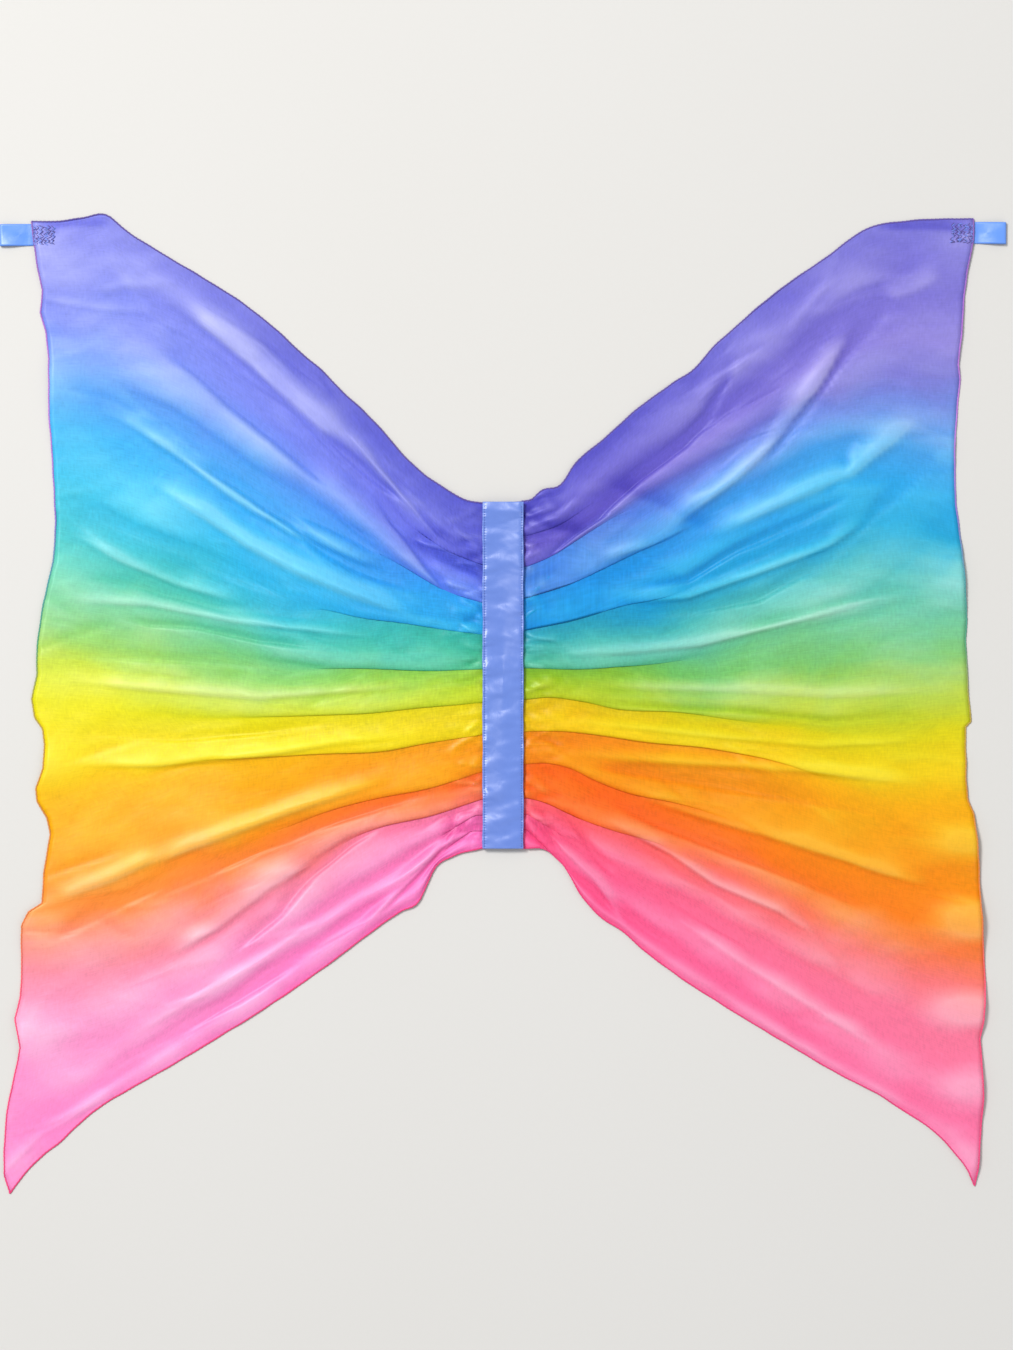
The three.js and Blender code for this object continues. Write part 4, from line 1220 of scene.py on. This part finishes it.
def add_corner_tack(side, wing, seed):
    """Rough zigzag stitches in two threads that bunch the silk corner onto the loop's ends:
    upright zigzags whose turning points are shaken a little, one beside the other."""
    low, high = node_box(f"corner_tack_{side}")
    random = np.random.default_rng(seed)
    points = wing[0].reshape(-1, 3)
    near, far = sorted((abs(low[0]), abs(high[0])))
    bottom, top = low[1] - 1.0, high[1] - 0.5
    for number, (thread, rows) in enumerate(((VIOLET_THREAD, 6), (SKY_THREAD, 4))):
        starts, ends = [], []
        for row in np.linspace(near + 4.0, far + 2.0, rows):
            turns = np.linspace(bottom, top, 10)
            sway = np.where(np.arange(len(turns)) % 2, 1.7, -1.7)
            line = np.stack([row + sway, turns], -1) + random.normal(0.0, 0.8, (len(turns), 2))
            line[:, 0] = np.minimum(line[:, 0], far + 2.6) * np.sign(low[0])
            off = points[None, :, :2] - line[:, None, :]
            nearest = np.hypot(off[..., 0], off[..., 1]).argmin(1)
            spots = np.concatenate([line, points[nearest, 2:3] + 0.3], -1)
            starts.append(spots[:-1])
            ends.append(spots[1:])
        tack = add_stitches(f"corner_stitches_{side}_{number + 1}", np.concatenate(starts),
                            np.concatenate(ends), 0.32, 0.35, thread)
        if number == 0:
            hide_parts(f"corner_tack_{side}")
        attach(tack, f"{side}_wing")


def add_strap(side):
    """Elastic shoulder strap: out from under the back ribbon, round half an ellipse that lies
    flat beneath the wing, and back. The band is a strip along that line, slightly crowned."""
    sign = SIGN[side]
    low, high = node_box(f"shoulder_strap_{side}")
    upper = node_box(f"strap_tab_{side}_upper")
    near, far = min(abs(low[0]), abs(high[0])), max(abs(low[0]), abs(high[0]))
    width = upper[1][1] - upper[0][1]
    centre_y = (low[1] + high[1]) / 2
    reach_y = (high[1] - low[1] - width) / 2
    bow = far - near - width / 2
    tab_end = min(abs(upper[0][0]), abs(upper[1][0])) + 0.3
    tab_z = (upper[0][2] + upper[1][2]) / 2
    angle = np.linspace(math.pi / 2, -math.pi / 2, 150)
    arc = np.stack([near + bow * np.cos(angle), centre_y + reach_y * np.sin(angle)], -1)
    tab = np.linspace(tab_end, near - 0.4, 16)
    path = np.concatenate([
        np.stack([tab, np.full(len(tab), centre_y + reach_y)], -1), arc,
        np.stack([tab[::-1], np.full(len(tab), centre_y - reach_y)], -1),
    ])
    rest_z = 0.46
    z = rest_z + (tab_z - rest_z) * (1.0 - smooth_step(path[:, 0], near - 2.5, near + 5.0))
    way = unit(np.gradient(path, axis=0))
    square = np.stack([-way[:, 1], way[:, 0]], -1)
    columns = 11
    across = np.linspace(-1, 1, columns)
    length = length_along(path)
    half = width / 2 - 0.08 + 0.07 * np.sin(length / 1.6)
    plan = path[:, None, :] + square[:, None, :] * (across[None, :] * half[:, None])[..., None]
    rib = 0.05 * np.cos(across * math.pi * 5)[None, :]
    height = z[:, None] + rib - 0.06 * across[None, :] ** 2
    points = np.stack([sign * plan[..., 0], plan[..., 1], height], -1).reshape(-1, 3)
    faces = grid_faces(len(path), columns, side == "right")
    uv = grid_uv(across * width / 2, length)
    strap = add_piece(f"elastic_strap_{side}", points, faces, ELASTIC, uv=uv)
    add_wall(strap, STRAP_THICKNESS)
    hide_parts(f"shoulder_strap_{side}", f"strap_tab_{side}_upper", f"strap_tab_{side}_lower")
    bend(strap)
    for end in ("upper", "lower"):
        low, high = node_box(f"strap_bartack_{side}_{end}")
        y = np.arange(low[1] + 0.5, high[1] - 0.4, 0.42)
        starts, ends = (
            np.stack([np.full(len(at), x), at, np.full(len(at), tab_z - 0.44)], -1)
            for x, at in ((low[0] + 0.3, y[:-1]), (high[0] - 0.3, y[1:]))
        )
        tack = add_stitches(f"bar_tack_{side}_{end}", starts, ends, 0.17, -0.1, WHITE_THREAD)
        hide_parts(f"strap_bartack_{side}_{end}")
        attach(tack, "spine")


def add_care_label():
    """Blank tape label sewn to the edge of the back ribbon; its free end curls a little."""
    low, high = node_box("care_label")
    columns, rows = 36, 28
    x = np.linspace(low[0], high[0] - 0.3, columns)
    y = np.linspace(low[1] + 0.2, high[1] - 0.2, rows)
    grid_x, grid_y = np.meshgrid(x, y)
    free = smooth_step(grid_x, RIBBON_EDGE, high[0])
    wave = 0.14 * np.sin(grid_y / 5.0) * free
    middle_z = (low[2] + high[2]) / 2
    z = middle_z - 0.05 - 0.35 * free ** 2 + wave
    points = np.stack([grid_x, grid_y, z], -1).reshape(-1, 3)
    uv = np.stack([grid_x, grid_y], -1).reshape(-1, 2)
    label = add_piece("blank_care_label", points, grid_faces(rows, columns, True), LABEL, uv=uv)
    add_wall(label, LABEL_THICKNESS)
    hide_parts("care_label")
    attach(label, "spine")
    for number, inset in enumerate((2.0, 5.6)):
        starts, ends = row_of_stitches(
            low[0] + inset, low[1] + 1.0, high[1] - 1.0, STITCH_PITCH, 1.7, level(middle_z - 0.22))
        seam = add_stitches(f"label_stitches_{number + 1}", starts, ends, 0.15, -0.08, WHITE_THREAD)
        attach(seam, "spine")


def add_table():
    """The pale board that the wings lie on."""
    half = 3000.0
    points = np.array([(-half, -half, 0.0), (half, -half, 0.0), (half, half, 0.0), (-half, half, 0.0)])
    table = add_piece("table_top", points, [(0, 1, 2, 3)], table_material())


add_spine()
left_wing = add_wing("left", 5)
right_wing = add_wing("right", 23)
add_gathered_middle(left_wing, right_wing)
for side, wing, seed in (("left", left_wing, 71), ("right", right_wing, 72)):
    add_finger_loop(side)
    add_corner_tack(side, wing, seed)
    add_strap(side)
add_care_label()
add_table()
